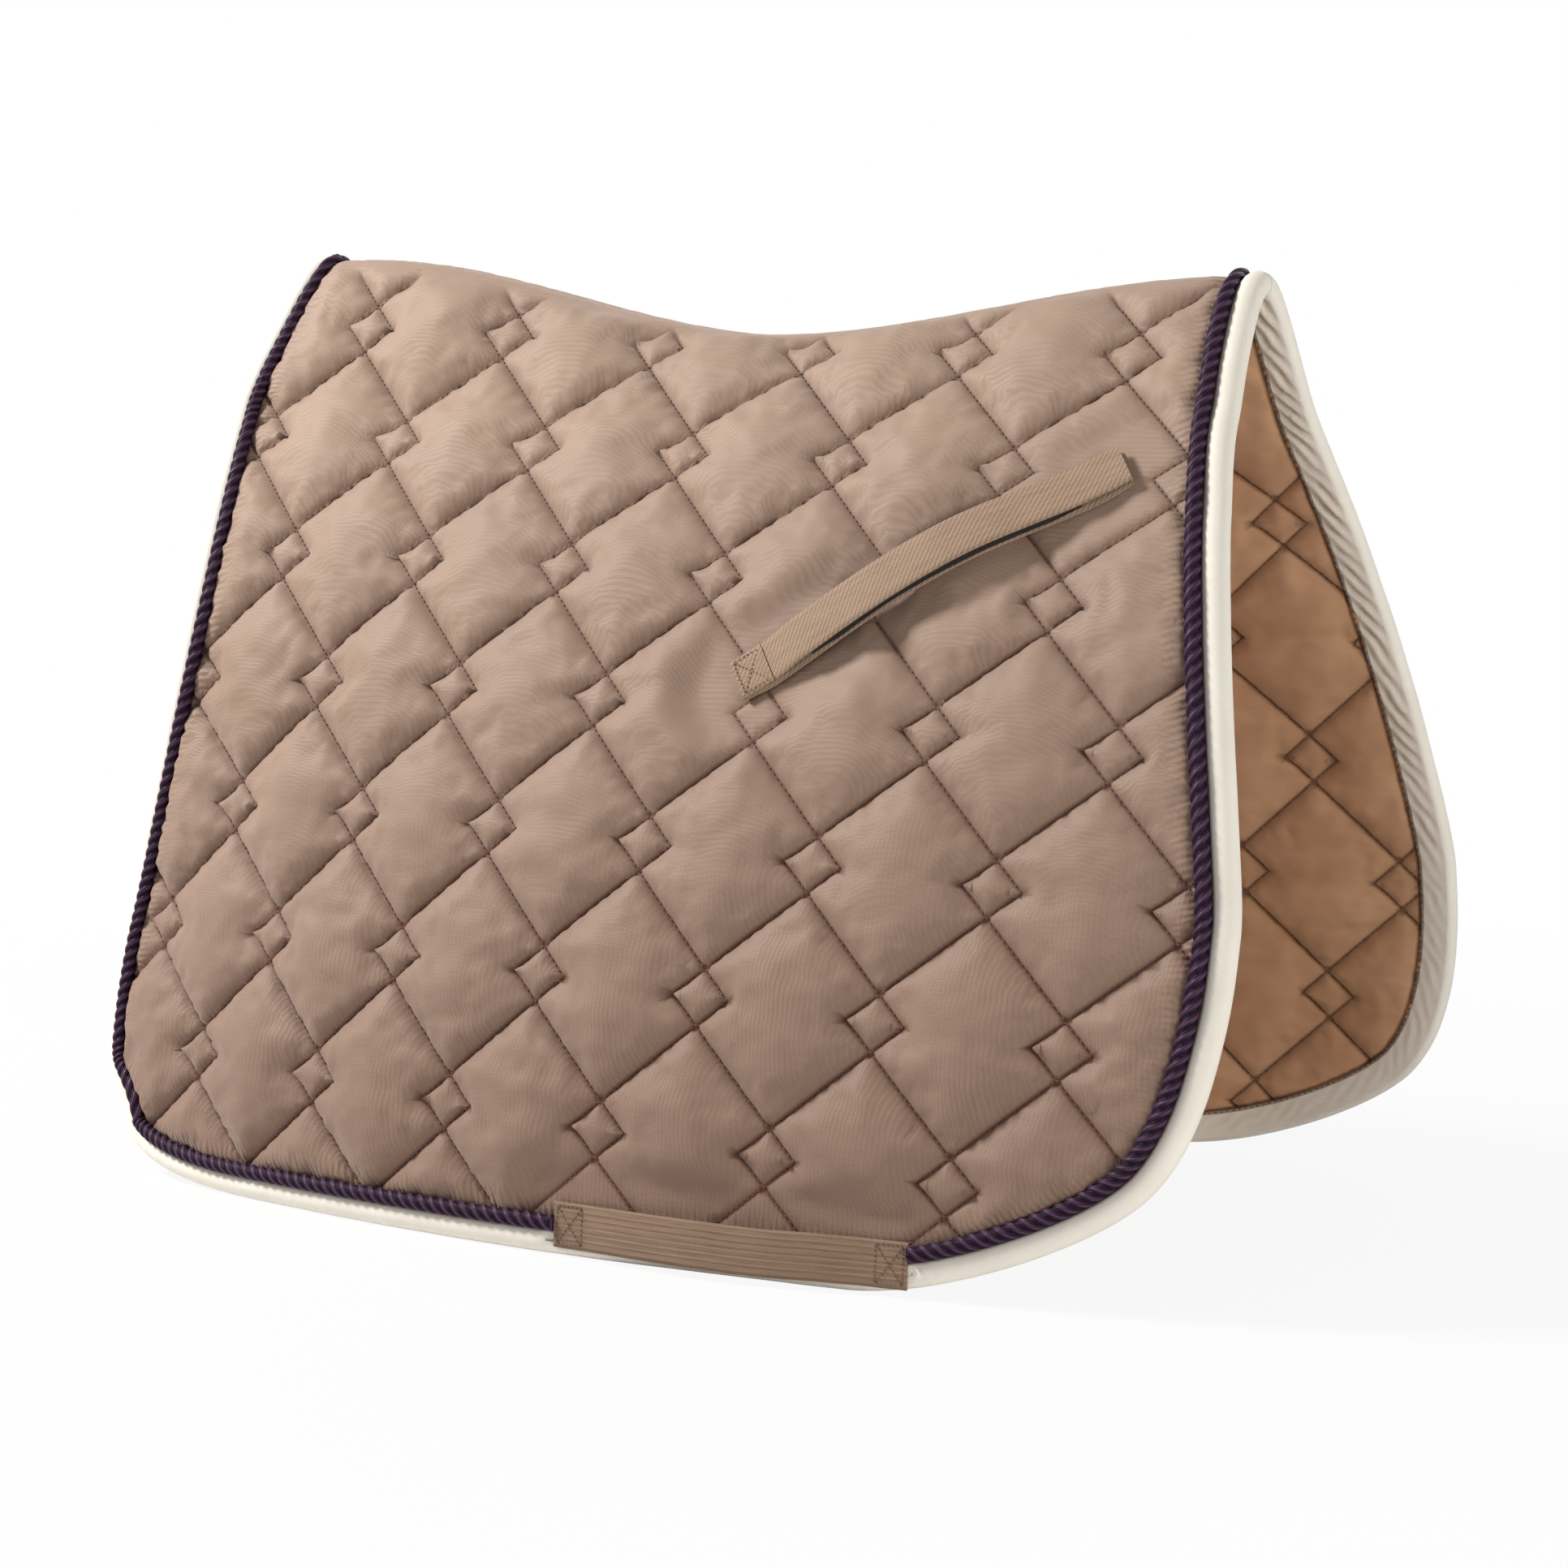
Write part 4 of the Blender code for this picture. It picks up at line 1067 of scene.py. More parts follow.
def slab(points: Array, faces: Faces, thickness: Array | float) -> tuple[Array, list]:
    """Close an open flat sheet into a slab, thickness down in h.

    Args:
        points: N x 3 flat points of the upper face.
        faces: its faces.
        thickness: how far down the lower face lies.

    Returns:
        All flat points and all faces.
    """
    count = len(points)
    lower = points.copy()
    lower[:, 2] -= thickness
    edges: dict[tuple[int, int], tuple[int, int]] = {}
    for face in faces:
        for a, b in zip(face, list(face[1:]) + [face[0]]):
            key = (min(a, b), max(a, b))
            if key in edges:
                del edges[key]
            else:
                edges[key] = (a, b)
    walls = [(b, a, a + count, b + count) for a, b in edges.values()]
    below = [tuple(k + count for k in reversed(face)) for face in faces]
    return np.vstack([points, lower]), [*faces, *below, *walls]


def grid(rows: int, columns: int, wrap: bool = False) -> list[tuple[int, ...]]:
    """Faces of a grid of points.

    Args:
        rows: number of rows.
        columns: points in each row.
        wrap: close each row into a loop.

    Returns:
        Vertex numbers of each face.
    """
    faces: list[tuple[int, ...]] = []
    for row in range(rows - 1):
        low, high = row * columns, (row + 1) * columns
        for k in range(columns if wrap else columns - 1):
            after = (k + 1) % columns
            faces.append((low + k, low + after, high + after, high + k))
    return faces


def tube(rows: int, ring: int) -> list[tuple[int, ...]]:
    """Faces of a closed tube: rows of rings with a cap at each end."""
    last = (rows - 1) * ring
    return [*grid(rows, ring, True), tuple(range(ring))[::-1], tuple(last + k for k in range(ring))]


def across_fold(obj: bpy.types.Object, side: Side, reach: float = 0.030) -> None:
    """Bake a piece's transform into its mesh.

    Args:
        obj: the piece.
        side: side of the pad.
        reach: how far above and below the fold line two points are laid, which are not used.
    """
    start, end = DRAPE.lay(np.array([[0.0, -reach, 0.0], [0.0, reach, 0.0]]), side)
    f"{side.word}_flap"
    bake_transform(obj)


@dataclass(frozen=True)
class Stitch:
    """One stitch as a spindle of thread, thickest in the middle."""

    length: float
    half_width: float
    middle: float
    top: float
    low: float
    ends: float

    def corners(self, length: float | None = None) -> Array:
        """Corners of the spindle.

        Args:
            length: its length where it isn't the usual one.

        Returns:
            6 x 3 corners: along the seam, across it and up.
        """
        half = (length or self.length) / 2.0
        return np.array([(-half, 0.0, self.ends), (0.0, self.half_width, self.middle), (0.0, 0.0, self.top),
                         (0.0, -self.half_width, self.middle), (0.0, 0.0, self.low), (half, 0.0, self.ends)])

    def along(self, centres: Array, run: Array, length: float | None = None) -> Array:
        """Set a stitch at each centre.

        Args:
            centres: N x 2 places.
            run: N x 2 unit directions, or one for all.
            length: stitch length where it isn't the usual one.

        Returns:
            N x 6 x 3 corners.
        """
        run = np.broadcast_to(run, centres.shape)
        across = np.stack([-run[:, 1], run[:, 0]], axis=1)
        shape = self.corners(length)
        place = centres[:, None] + run[:, None] * shape[None, :, :1] + across[:, None] * shape[None, :, 1:2]
        return np.concatenate([place, np.tile(shape[None, :, 2:], (len(centres), 1, 1))], axis=2)


def sew(name: str, corners: Array, side: Side, thread: bpy.types.Material) -> bpy.types.Object:
    """Make a piece of separate stitches.

    Args:
        name: piece name.
        corners: N x 6 x 3 flat corners of the spindles.
        side: side of the pad.
        thread: thread material.

    Returns:
        The thread piece.
    """
    pattern = np.array([(0, 1, 2), (0, 2, 3), (0, 3, 4), (0, 4, 1), (5, 2, 1), (5, 3, 2), (5, 4, 3), (5, 1, 4)])
    faces = (np.arange(len(corners))[:, None, None] * 6 + pattern[None]).reshape(-1, 3)
    flat = corners.reshape(-1, 3)
    return make_piece(name, DRAPE.lay(flat, side), faces.tolist(), flat, Dress(thread, "thread"))


# --------------------------------------------------------------- what lies where
@dataclass(frozen=True)
class StrapPlan:
    """Where the billet strap lies on the flat pattern, layer by layer."""

    rear: tuple[float, float] = (0.0215, 0.1685)
    length: float = 0.240
    rise: float = math.radians(34.1)
    width: float = 0.0250
    bow: float = 0.0145
    webbing: float = 0.0016
    sewn: float = 0.0200
    tape: float = 0.0009
    tape_width: float = 0.0244
    tape_start: float = 0.046
    tape_end_margin: float = 0.030
    lift_run: float = 0.022
    hinge_gap: float = 0.0006
    gap: float = 0.0003
    seat: float = 0.0048

    def axes(self) -> tuple[Array, Array, Array]:
        """Rear end, direction and width direction."""
        along = np.array([math.cos(self.rise), -math.sin(self.rise)])
        return np.array(self.rear), along, np.array([-along[1], along[0]])

    def inner(self, a: Array) -> Array:
        """Underside of the inner webbing, bowed off the flap."""
        return self.seat + self.bow * np.sin(np.pi * np.clip(a / self.length, 0.0, 1.0)) ** 2

    def second(self, a: Array) -> Array:
        """Underside of what lies on the inner webbing."""
        return self.inner(a) + (self.webbing + self.gap)

    def third(self, a: Array) -> Array:
        """Underside of the hook tape."""
        return self.second(a) + self.tape + self.gap

    def outer(self, a: Array) -> Array:
        """Underside of the outer webbing, lifted over both tapes."""
        lift = smoothstep((a - self.sewn - self.hinge_gap) / self.lift_run)
        return self.second(a) + 2.0 * (self.tape + self.gap) * lift


@dataclass(frozen=True)
class KeeperPlan:
    """Where the girth keeper lies on the flat pattern."""

    rear_s: float = -0.0485
    front_s: float = 0.1615
    w: float = 0.4700
    width: float = 0.0250
    sewn: float = 0.0200
    bow: float = 0.0095
    webbing: float = 0.0016
    seat: float = 0.0062

    def level(self, a: Array) -> Array:
        """Underside of the webbing, bowed off between its sewn ends."""
        free = (self.front_s - self.rear_s) - 2.0 * self.sewn
        return self.seat + self.bow * np.sin(np.pi * np.clip((a - self.sewn) / free, 0.0, 1.0))


STRAP = StrapPlan()
KEEPER = KeeperPlan()


def held_down(flat: Array, margin: float = 0.010, ease: float = 0.026, bowed: float = 0.75) -> Array:
    """Share of the puffing left where strap and keeper press the quilting.

    Args:
        flat: N x 3 flat points.
        margin: how far round the webbing the cloth is held.
        ease: distance over which it puffs up again.
        bowed: how much freer it is under the middle of the bowed strap.

    Returns:
        0 to 1 for each point.
    """
    origin, along, _ = STRAP.axes()
    points = flat[:, :2]
    a = np.clip((points - origin) @ along, 0.0, STRAP.length)
    axis = origin + a[:, None] * along
    away = np.linalg.norm(points - axis, axis=1) - STRAP.width / 2.0 - margin
    hold = 1.0 - bowed * np.sin(np.pi * a / STRAP.length) ** 2
    strap = 1.0 - hold * (1.0 - smoothstep(away / ease))
    keep_s = np.clip(points[:, 0], KEEPER.rear_s, KEEPER.front_s)
    drop = np.maximum(KEEPER.w - KEEPER.width / 2.0 - points[:, 1], 0.0)
    keeper = smoothstep((np.hypot(points[:, 0] - keep_s, drop) - margin) / ease)
    return np.minimum(strap, keeper)


# -------------------------------------------------------------- quilted cloth
@dataclass
class Panel:
    """Flat mesh of one quilted side: seams, the rows beside them and a lattice."""

    side: Side
    inset: float = 0.0046
    step: float = 0.0046
    seam_step: float = 0.0042
    row: float = 0.0019
    rim: float = 0.0028
    edge_step: float = 0.006
    jitter: float = 0.16
    flat: Array = field(init=False)
    faces: list = field(init=False)
    seam: Array = field(init=False)
    run: Array = field(init=False)
    number: Array = field(init=False)
    edge: Array = field(init=False)
    edge_run: Array = field(init=False)
    crest: Array = field(init=False)
    starts: Array = field(init=False)
    ends: Array = field(init=False)

    def __post_init__(self) -> None:
        """Triangulate the panel and measure every point against seams and edge."""
        ring = OUTLINE.ring(self.inset, self.step)
        core = OUTLINE.ring(self.inset + self.rim, self.step)
        self.starts, self.ends = QUILT.segments(self.side)
        seams, rows, links = self._seam_points(ring)
        lattice = self._lattice(ring)
        far, _, _ = segment_field(lattice, self.starts, self.ends)
        lattice = lattice[(far > self.row + 0.55 * self.step) & inside(lattice, core)]
        coords = [Vector(point) for block in (ring, seams, rows, lattice) for point in block]
        edges = [(a + len(ring), b + len(ring)) for a, b in links]
        result = delaunay_2d_cdt(coords, edges, [list(range(len(ring)))], 1, 1e-5)
        points = np.array([tuple(v) for v in result[0]])
        self.faces = [tuple(f) for f in result[2]]
        self.flat = np.column_stack([points, np.zeros(len(points))])
        self.seam, self.number, self.run = segment_field(points, self.starts, self.ends)
        line, _ = OUTLINE.curve(self.edge_step)
        self.edge, number, along = segment_field(points, line[:-1], line[1:])
        self.edge_run = number * self.edge_step + along
        self.crest = points[:, 1] + DRAPE.crest_width(points[:, 0])

    def _lattice(self, ring: Array) -> Array:
        """Evenly packed points over the whole panel.

        Args:
            ring: the panel's rim.

        Returns:
            N x 2 points, slightly scattered.
        """
        low, high = ring.min(axis=0), ring.max(axis=0)
        rows = []
        for k, y in enumerate(np.arange(low[1], high[1], self.step * math.sqrt(0.75))):
            xs = np.arange(low[0] + (k % 2) * self.step / 2.0, high[0], self.step)
            rows.append(np.column_stack([xs, np.full(len(xs), y)]))
        lattice = np.vstack(rows)
        draw = np.random.default_rng(7)
        return lattice + draw.uniform(-self.jitter, self.jitter, lattice.shape) * self.step

    def _seam_points(self, ring: Array) -> tuple[Array, Array, list[tuple[int, int]]]:
        """Place points on the seams and beside them.

        Args:
            ring: the panel's rim.

        Returns:
            Points on the seams, points in the rows beside them, and the seam
            links as pairs of point numbers.
        """
        seams: list[Array] = []
        rows: list[Array] = []
        links: list[tuple[int, int]] = []
        total = 0
        for a, b in zip(self.starts, self.ends):
            length = np.linalg.norm(b - a)
            t = np.linspace(0.0, 1.0, int(round(length / self.seam_step)) + 1)
            points = a + t[:, None] * (b - a)
            kept = np.where(inside(points, ring))[0]
            if len(kept) < 2:
                continue
            points = points[kept[0]:kept[-1] + 1]
            seams.append(points)
            links += [(total + k, total + k + 1) for k in range(len(points) - 1)]
            total += len(points)
            middle = (points[:-1] + points[1:]) / 2.0
            across = np.array([-(b - a)[1], (b - a)[0]]) / length
            rows += [middle + across * self.row, middle - across * self.row]
        beside = np.vstack(rows)
        far, _, _ = segment_field(beside, self.starts, self.ends)
        beside = beside[(far > self.row * 0.9) & inside(beside, ring)]
        return np.vstack(seams), beside, links

    def dome(self, held: Array, reach: float, rounds: int = 220) -> Array:
        """Shape of a membrane pushed up between held points.

        Args:
            held: True for the points that stay down.
            reach: distance from a seam over which the cloth curves up.
            rounds: relaxation rounds.

        Returns:
            0 at held points, close to 1 in the middle of a wide box.
        """
        corners = np.array(self.faces)
        sides = np.vstack([corners[:, [0, 1]], corners[:, [1, 2]], corners[:, [2, 0]]])
        pairs = np.unique(np.sort(sides, axis=1), axis=0)
        first, second = np.vstack([pairs, pairs[:, ::-1]]).T
        gap = self.flat[first, :2] - self.flat[second, :2]
        weight = (2.0 / 3.0) / np.maximum((gap ** 2).sum(axis=1), 1e-8)
        total = np.bincount(first, weight, len(self.flat)) + reach ** -2
        level = np.where(held, 0.0, 0.6)
        for _ in range(rounds):
            pull = np.bincount(first, weight * level[second], len(self.flat)) + reach ** -2
            level = np.where(held, 0.0, pull / total)
        return level

    def area(self) -> float:
        """Flat area of the panel."""
        a, b, c = (self.flat[[f[k] for f in self.faces], :2] for k in range(3))
        return float(np.abs(np.cross(b - a, c - a)).sum() / 2.0)


@dataclass
class Puffing:
    """Blows the cloth up between its seams, by cloth simulation."""

    pressure: float = 9.0
    frames: int = 12
    growth: float = -0.018
    stretch: float = 18.0
    shear: float = 8.0
    bend: float = 0.5
    mass: float = 0.12
    start_share: float = 0.92
    cap: float = 0.0130
    plain_height: float = 0.0098
    reach: float = 0.0165
    fullness: float = 0.62
    edge_hold: float = 0.0182
    most_move: float = 0.0015
    move_ease: float = 0.008

    def heights(self, panel: Panel) -> Array:
        """Puff the cloth up, height 0 on the seams.

        Args:
            panel: the flat panel.

        Returns:
            N x 3 flat points.
        """
        held = (panel.seam < 0.0003) | (panel.edge < self.edge_hold) | (panel.crest < 0.0012)
        plain = panel.flat.copy()
        plain[:, 2] = self.plain_height * panel.dome(held, self.reach) ** self.fullness
        plain[:, 2] *= self.start_share
        points = self.simulated(plain, panel.faces, np.where(held)[0].tolist())
        LOG.info("puffing %s: height %.2f to %.2f mm", panel.side.word, points[:, 2].min() * 1e3,
                 points[:, 2].max() * 1e3)
        move = points[:, :2] - panel.flat[:, :2]
        far = np.linalg.norm(move, axis=1)
        ease = smoothstep(panel.seam / self.move_ease)
        move *= (np.minimum(1.0, self.most_move / np.maximum(far, 1e-9)) * ease)[:, None]
        flat = panel.flat.copy()
        flat[:, :2] += move
        flat[:, 2] = np.clip(points[:, 2], 0.0, self.cap)
        return flat

    def simulated(self, start: Array, faces: Faces, sewn: list[int]) -> Array:
        """Run the cloth simulation on the flat panel with its seams pinned.

        Args:
            start: N x 3 points to start from.
            faces: the panel's faces.
            sewn: numbers of the pinned points.

        Returns:
            N x 3 settled points.
        """
        scene = bpy.context.scene
        mesh = bpy.data.meshes.new("puffing")
        mesh.from_pydata(start.tolist(), [], faces)
        mesh.update()
        obj = bpy.data.objects.new("puffing", mesh)
        scene.collection.objects.link(obj)
        group = obj.vertex_groups.new(name="sewn")
        group.add(sewn, 1.0, "REPLACE")
        cloth = obj.modifiers.new("Puffing", "CLOTH")
        choices = {"vertex_group_mass": group.name, "pin_stiffness": 1.0, "quality": 4, "mass": self.mass,
                   "tension_stiffness": self.stretch, "compression_stiffness": self.stretch,
                   "shear_stiffness": self.shear, "bending_stiffness": self.bend, "use_pressure": True,
                   "uniform_pressure_force": self.pressure, "shrink_min": self.growth}
        for key, value in choices.items():
            setattr(cloth.settings, key, value)
        cloth.settings.effector_weights.gravity = 0.0
        cloth.collision_settings.use_collision = False
        cloth.collision_settings.use_self_collision = False
        cloth.point_cache.frame_start = 1
        cloth.point_cache.frame_end = self.frames
        for frame_number in range(1, self.frames + 1):
            scene.frame_set(frame_number)
        evaluated = obj.evaluated_get(bpy.context.evaluated_depsgraph_get())
        settled = evaluated.to_mesh()
        points = np.empty(len(settled.vertices) * 3)
        settled.vertices.foreach_get("co", points)
        evaluated.to_mesh_clear()
        bpy.data.objects.remove(obj)
        bpy.data.meshes.remove(mesh)
        scene.frame_set(1)
        return points.reshape(-1, 3)


@dataclass(frozen=True)
class Crease:
    """A soft crease where the hanging cloth folds on itself."""

    s: float
    w: float
    length: float
    tilt: float
    lift: float
    width: float = 0.0042
    trough: float = 0.007
    trough_width: float = 0.0045

    def rise(self, s: Array, w: Array) -> Array:
        """Ridge of the crease and the shallow trough below it.

        Args:
            s: lengths along the flat pattern.
            w: lengths down it.

        Returns:
            The height to add at each point.
        """
        c, n = math.cos(self.tilt), math.sin(self.tilt)
        a = (s - self.s) * c + (w - self.w) * n
        b = (w - self.w) * c - (s - self.s) * n
        along = self.lift * bell(a, 0.0, self.length / 2.0)
        return along * (bell(b, 0.0, self.width) - 0.5 * bell(b, self.trough, self.trough_width))


CREASES = (
    Crease(0.232, 0.352, 0.070, 0.10, 0.0024), Crease(0.236, 0.366, 0.060, 0.16, 0.0020),
    Crease(0.262, 0.334, 0.040, 0.45, 0.0018), Crease(0.070, 0.432, 0.060, 0.05, 0.0018),
    Crease(0.150, 0.437, 0.045, -0.3, 0.0016),
)


@dataclass
class QuiltedCloth:
    """One face of the pad, from the spine seam to the bound edge."""

    side: Side
    face: Face
    panel: Panel
    puffed: Array
    material: bpy.types.Material
    base: float = 0.0042
    cloth: float = 0.0010
    groove_depth: float = 0.0012
    groove_half: float = 0.0012
    # Painted shade: width and strength of the darkening along the quilting seams and of the wider soft rim round
    # them.
    dark_half: float = 0.0011
    groove_shade_strength: tuple[float, float] = (0.85, 0.55)
    rim_half: float = 0.0045
    rim_shade_strength: float = 0.16
    share: float = 1.0
    pucker: float = 0.0009
    pucker_pitch: float = 0.0105
    pucker_full: float = 0.002
    edge_pucker: float = 0.0011
    edge_pitch: float = 0.0088
    seam_clear: float = 0.004
    seam_ease: float = 0.012
    edge_clear: float = 0.020
    slack: float = 0.0008
    slack_size: float = 0.060
    slack_squash: float = 1.8
    fold: float = 0.0022
    fold_size: float = 0.050
    fold_stretch: tuple[float, float] = (0.35, 1.6)
    fold_start: float = 0.02
    fold_run: float = 0.16
    spine_puff: float = 0.0034
    spine_width: float = 0.022
    spine_flat: float = 0.011
    spine_ease: float = 0.012
    spine_clear: float = 0.018
    cord_bed: float = 0.0012
    cord_inset: float = 0.0178
    cord_half: float = 0.0042
    outer: bool = field(init=False)
    seed: int = field(init=False)
    flat: Array = field(init=False)

    def __post_init__(self) -> None:
        """Work out the finished surface once, for the cloth and for its wadding."""
        self.outer = self.face is Face.OUTER
        self.seed = (11 if self.outer else 23) + 3 * (self.side is Side.LEFT)
        self.flat = self.heights()

    def heights(self) -> Array:
        """Lay wrinkles, grooves and the spine band over the puffed cloth.

        Returns:
            N x 3 flat points of the finished cloth.
        """
        panel, seed = self.panel, self.seed
        flat = self.puffed.copy()
        s, w = panel.flat[:, 0], panel.flat[:, 1]
        rise = flat[:, 2] * self.share
        if self.outer:
            rise *= held_down(panel.flat)
        rise += self.seam_puckers(s, w) * np.minimum(1.0, rise / self.pucker_full)
        rise += self.edge_puckers(s, w)
        open_cloth = smoothstep((panel.seam - self.seam_clear) / self.seam_ease)
        open_cloth *= smoothstep((panel.edge - self.edge_clear) / self.edge_clear)
        rise += self.slack * open_cloth * ripple(s, w * self.slack_squash, seed + 5, self.slack_size)
        if not self.outer:
            high = 1.0 - smoothstep((w - self.fold_start) / self.fold_run)
            along, down = self.fold_stretch
            rise += self.fold * high * open_cloth * ripple(s * along, w * down, seed + 6, self.fold_size)
        if self.outer and self.side is Side.RIGHT:
            rise += sum(crease.rise(s, w) for crease in CREASES) * open_cloth
        rise = np.maximum(rise, 0.0) - self.groove_depth * bell(panel.seam, 0.0, self.groove_half)
        if self.outer:
            bed = bell(panel.edge, self.cord_inset, self.cord_half)
            rise = np.maximum(rise, -self.groove_depth) - self.cord_bed * bed * (rise > -self.groove_depth / 2.0)
        band = self.spine_puff * self.share * np.sin(np.pi * np.clip(panel.crest / self.spine_width, 0.0, 1.0))
        band *= smoothstep((panel.edge - self.spine_clear) / self.spine_ease)
        off_spine = smoothstep((panel.crest - self.spine_flat) / self.spine_ease)
        flat[:, 2] = rise * off_spine + np.maximum(band, 0.0)
        return flat

    def seam_puckers(self, s: Array, w: Array) -> Array:
        """Short wrinkles that run off the seams.

        Args:
            s: lengths along the flat pattern.
            w: lengths down it.

        Returns:
            Heights to add.
        """
        panel, seed = self.panel, self.seed
        phase = TURN * (panel.run / self.pucker_pitch + np.sin(panel.number * 12.9898) * 3.0)
        wave = np.sin(phase + 2.2 * ripple(s, w, seed, 0.030)) * (0.55 + 0.45 * ripple(s, w, seed + 1, 0.05))
        return self.pucker * bell(panel.seam, 0.006, 0.0065) * wave

    def edge_puckers(self, s: Array, w: Array) -> Array:
        """Slanting gathers beside the bound edge.

        Args:
            s: lengths along the flat pattern.
            w: lengths down it.

        Returns:
            Heights to add.
        """
        panel, seed = self.panel, self.seed
        line = TURN * (panel.edge_run + 0.55 * panel.edge) / self.edge_pitch
        pull = np.sin(line + 2.6 * ripple(s, w, seed + 2, 0.045)) * (0.5 + 0.5 * ripple(s, w, seed + 4, 0.09))
        beside = bell(panel.edge, 0.026, 0.011) * smoothstep((panel.edge - 0.0175) / 0.004)
        return self.edge_pucker * beside * pull

    def build(self) -> bpy.types.Object:
        """Make the cloth's mesh, closed, with its finish.

        Returns:
            The cloth.
        """
        word, panel = self.side.word, self.panel
        name = f"{word}_outer_cover" if self.outer else f"{word}_lining"
        # Painted shade in the quilting grooves and a wider rim round them, faded out at the spine; kept in the
        # groove attribute.
        crease = smoothstep((panel.crest - 0.012) / 0.006)
        groove_shade = bell(panel.seam, 0.0, self.dark_half) * self.groove_shade_strength[0 if self.outer else 1] * crease
        rim = bell(panel.seam, 0.0, self.rim_half) * self.rim_shade_strength * crease
        points, faces = slab(self.flat, panel.faces, self.cloth)
        points[:, 2] += self.base
        if not self.outer:
            points[:, 2] *= -1.0
        numbers = {"groove": np.clip(groove_shade + rim, 0.0, 1.0), "edge": panel.edge, "edge_run": panel.edge_run}
        flat = np.tile(np.column_stack([panel.flat[:, :2], self.flat[:, 2]]), (2, 1))
        obj = make_piece(name, DRAPE.lay(points, self.side), faces, flat,
                         Dress(self.material, "twill" if self.outer else "lining"),
                         {key: np.tile(values, 2) for key, values in numbers.items()})
        layer = "cover" if self.outer else "lining"
        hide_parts(f"{word}_{layer}_upper", f"{word}_{layer}_lower")
        across_fold(obj, self.side)
        return obj


@dataclass
class Wadding:
    """The fibre batting between cover and lining."""

    side: Side
    cover: QuiltedCloth
    lining: QuiltedCloth
    material: bpy.types.Material
    half: float = 0.0016
    fullness: float = 0.85
    fill: float = 0.75

    def build(self) -> bpy.types.Object:
        """Fill the quilted pockets with a closed pad of fibre.

        Returns:
            The pad.
        """
        top = self.cover.flat.copy()
        top[:, 2] = self.half + self.fullness * np.maximum(top[:, 2], 0.0)
        low = -self.half - self.fullness * np.maximum(self.lining.flat[:, 2], 0.0)
        points, faces = slab(top, self.cover.panel.faces, top[:, 2] - low)
        obj = make_piece(f"{self.side.word}_wadding", DRAPE.lay(points, self.side), faces, points,
                         Dress(self.material, "wadding"))
        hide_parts(f"{self.side.word}_batting_upper", f"{self.side.word}_batting_lower")
        across_fold(obj, self.side)
        return obj


@dataclass
class SeamStitches:
    """Lockstitches sunk in the quilting grooves of one cloth."""

    side: Side
    face: Face
    panel: Panel
    material: bpy.types.Material
    pitch: float = 0.0040
    stitch: Stitch = Stitch(0.0029, 0.00045, 0.0, 0.00045, -0.00045, -0.0003)
    base: float = 0.0038
    edge_clear: float = 0.0175
    spine_clear: float = 0.016

    def build(self) -> bpy.types.Object:
        """Sew along every seam, clear of the edge and the spine.

        Returns:
            The thread piece.
        """
        ring = OUTLINE.ring(self.edge_clear, 0.006)
        rows: list[Array] = []
        for a, b in zip(self.panel.starts, self.panel.ends):
            total = np.linalg.norm(b - a)
            run = (b - a) / total
            at = a + np.outer(np.arange(self.pitch / 2.0, total, self.pitch), run)
            at = at[inside(at, ring)]
            if len(at):
                at = at[at[:, 1] + DRAPE.crest_width(at[:, 0]) > self.spine_clear]
                rows.append(self.stitch.along(at, run))
        corners = np.vstack(rows)
        corners[..., 2] += self.base
        if self.face is Face.INNER:
            corners[..., 2] *= -1.0
        obj = sew(f"{self.side.word}_{self.face.value}_quilting_thread", corners, self.side, self.material)
        across_fold(obj, self.side)
        return obj


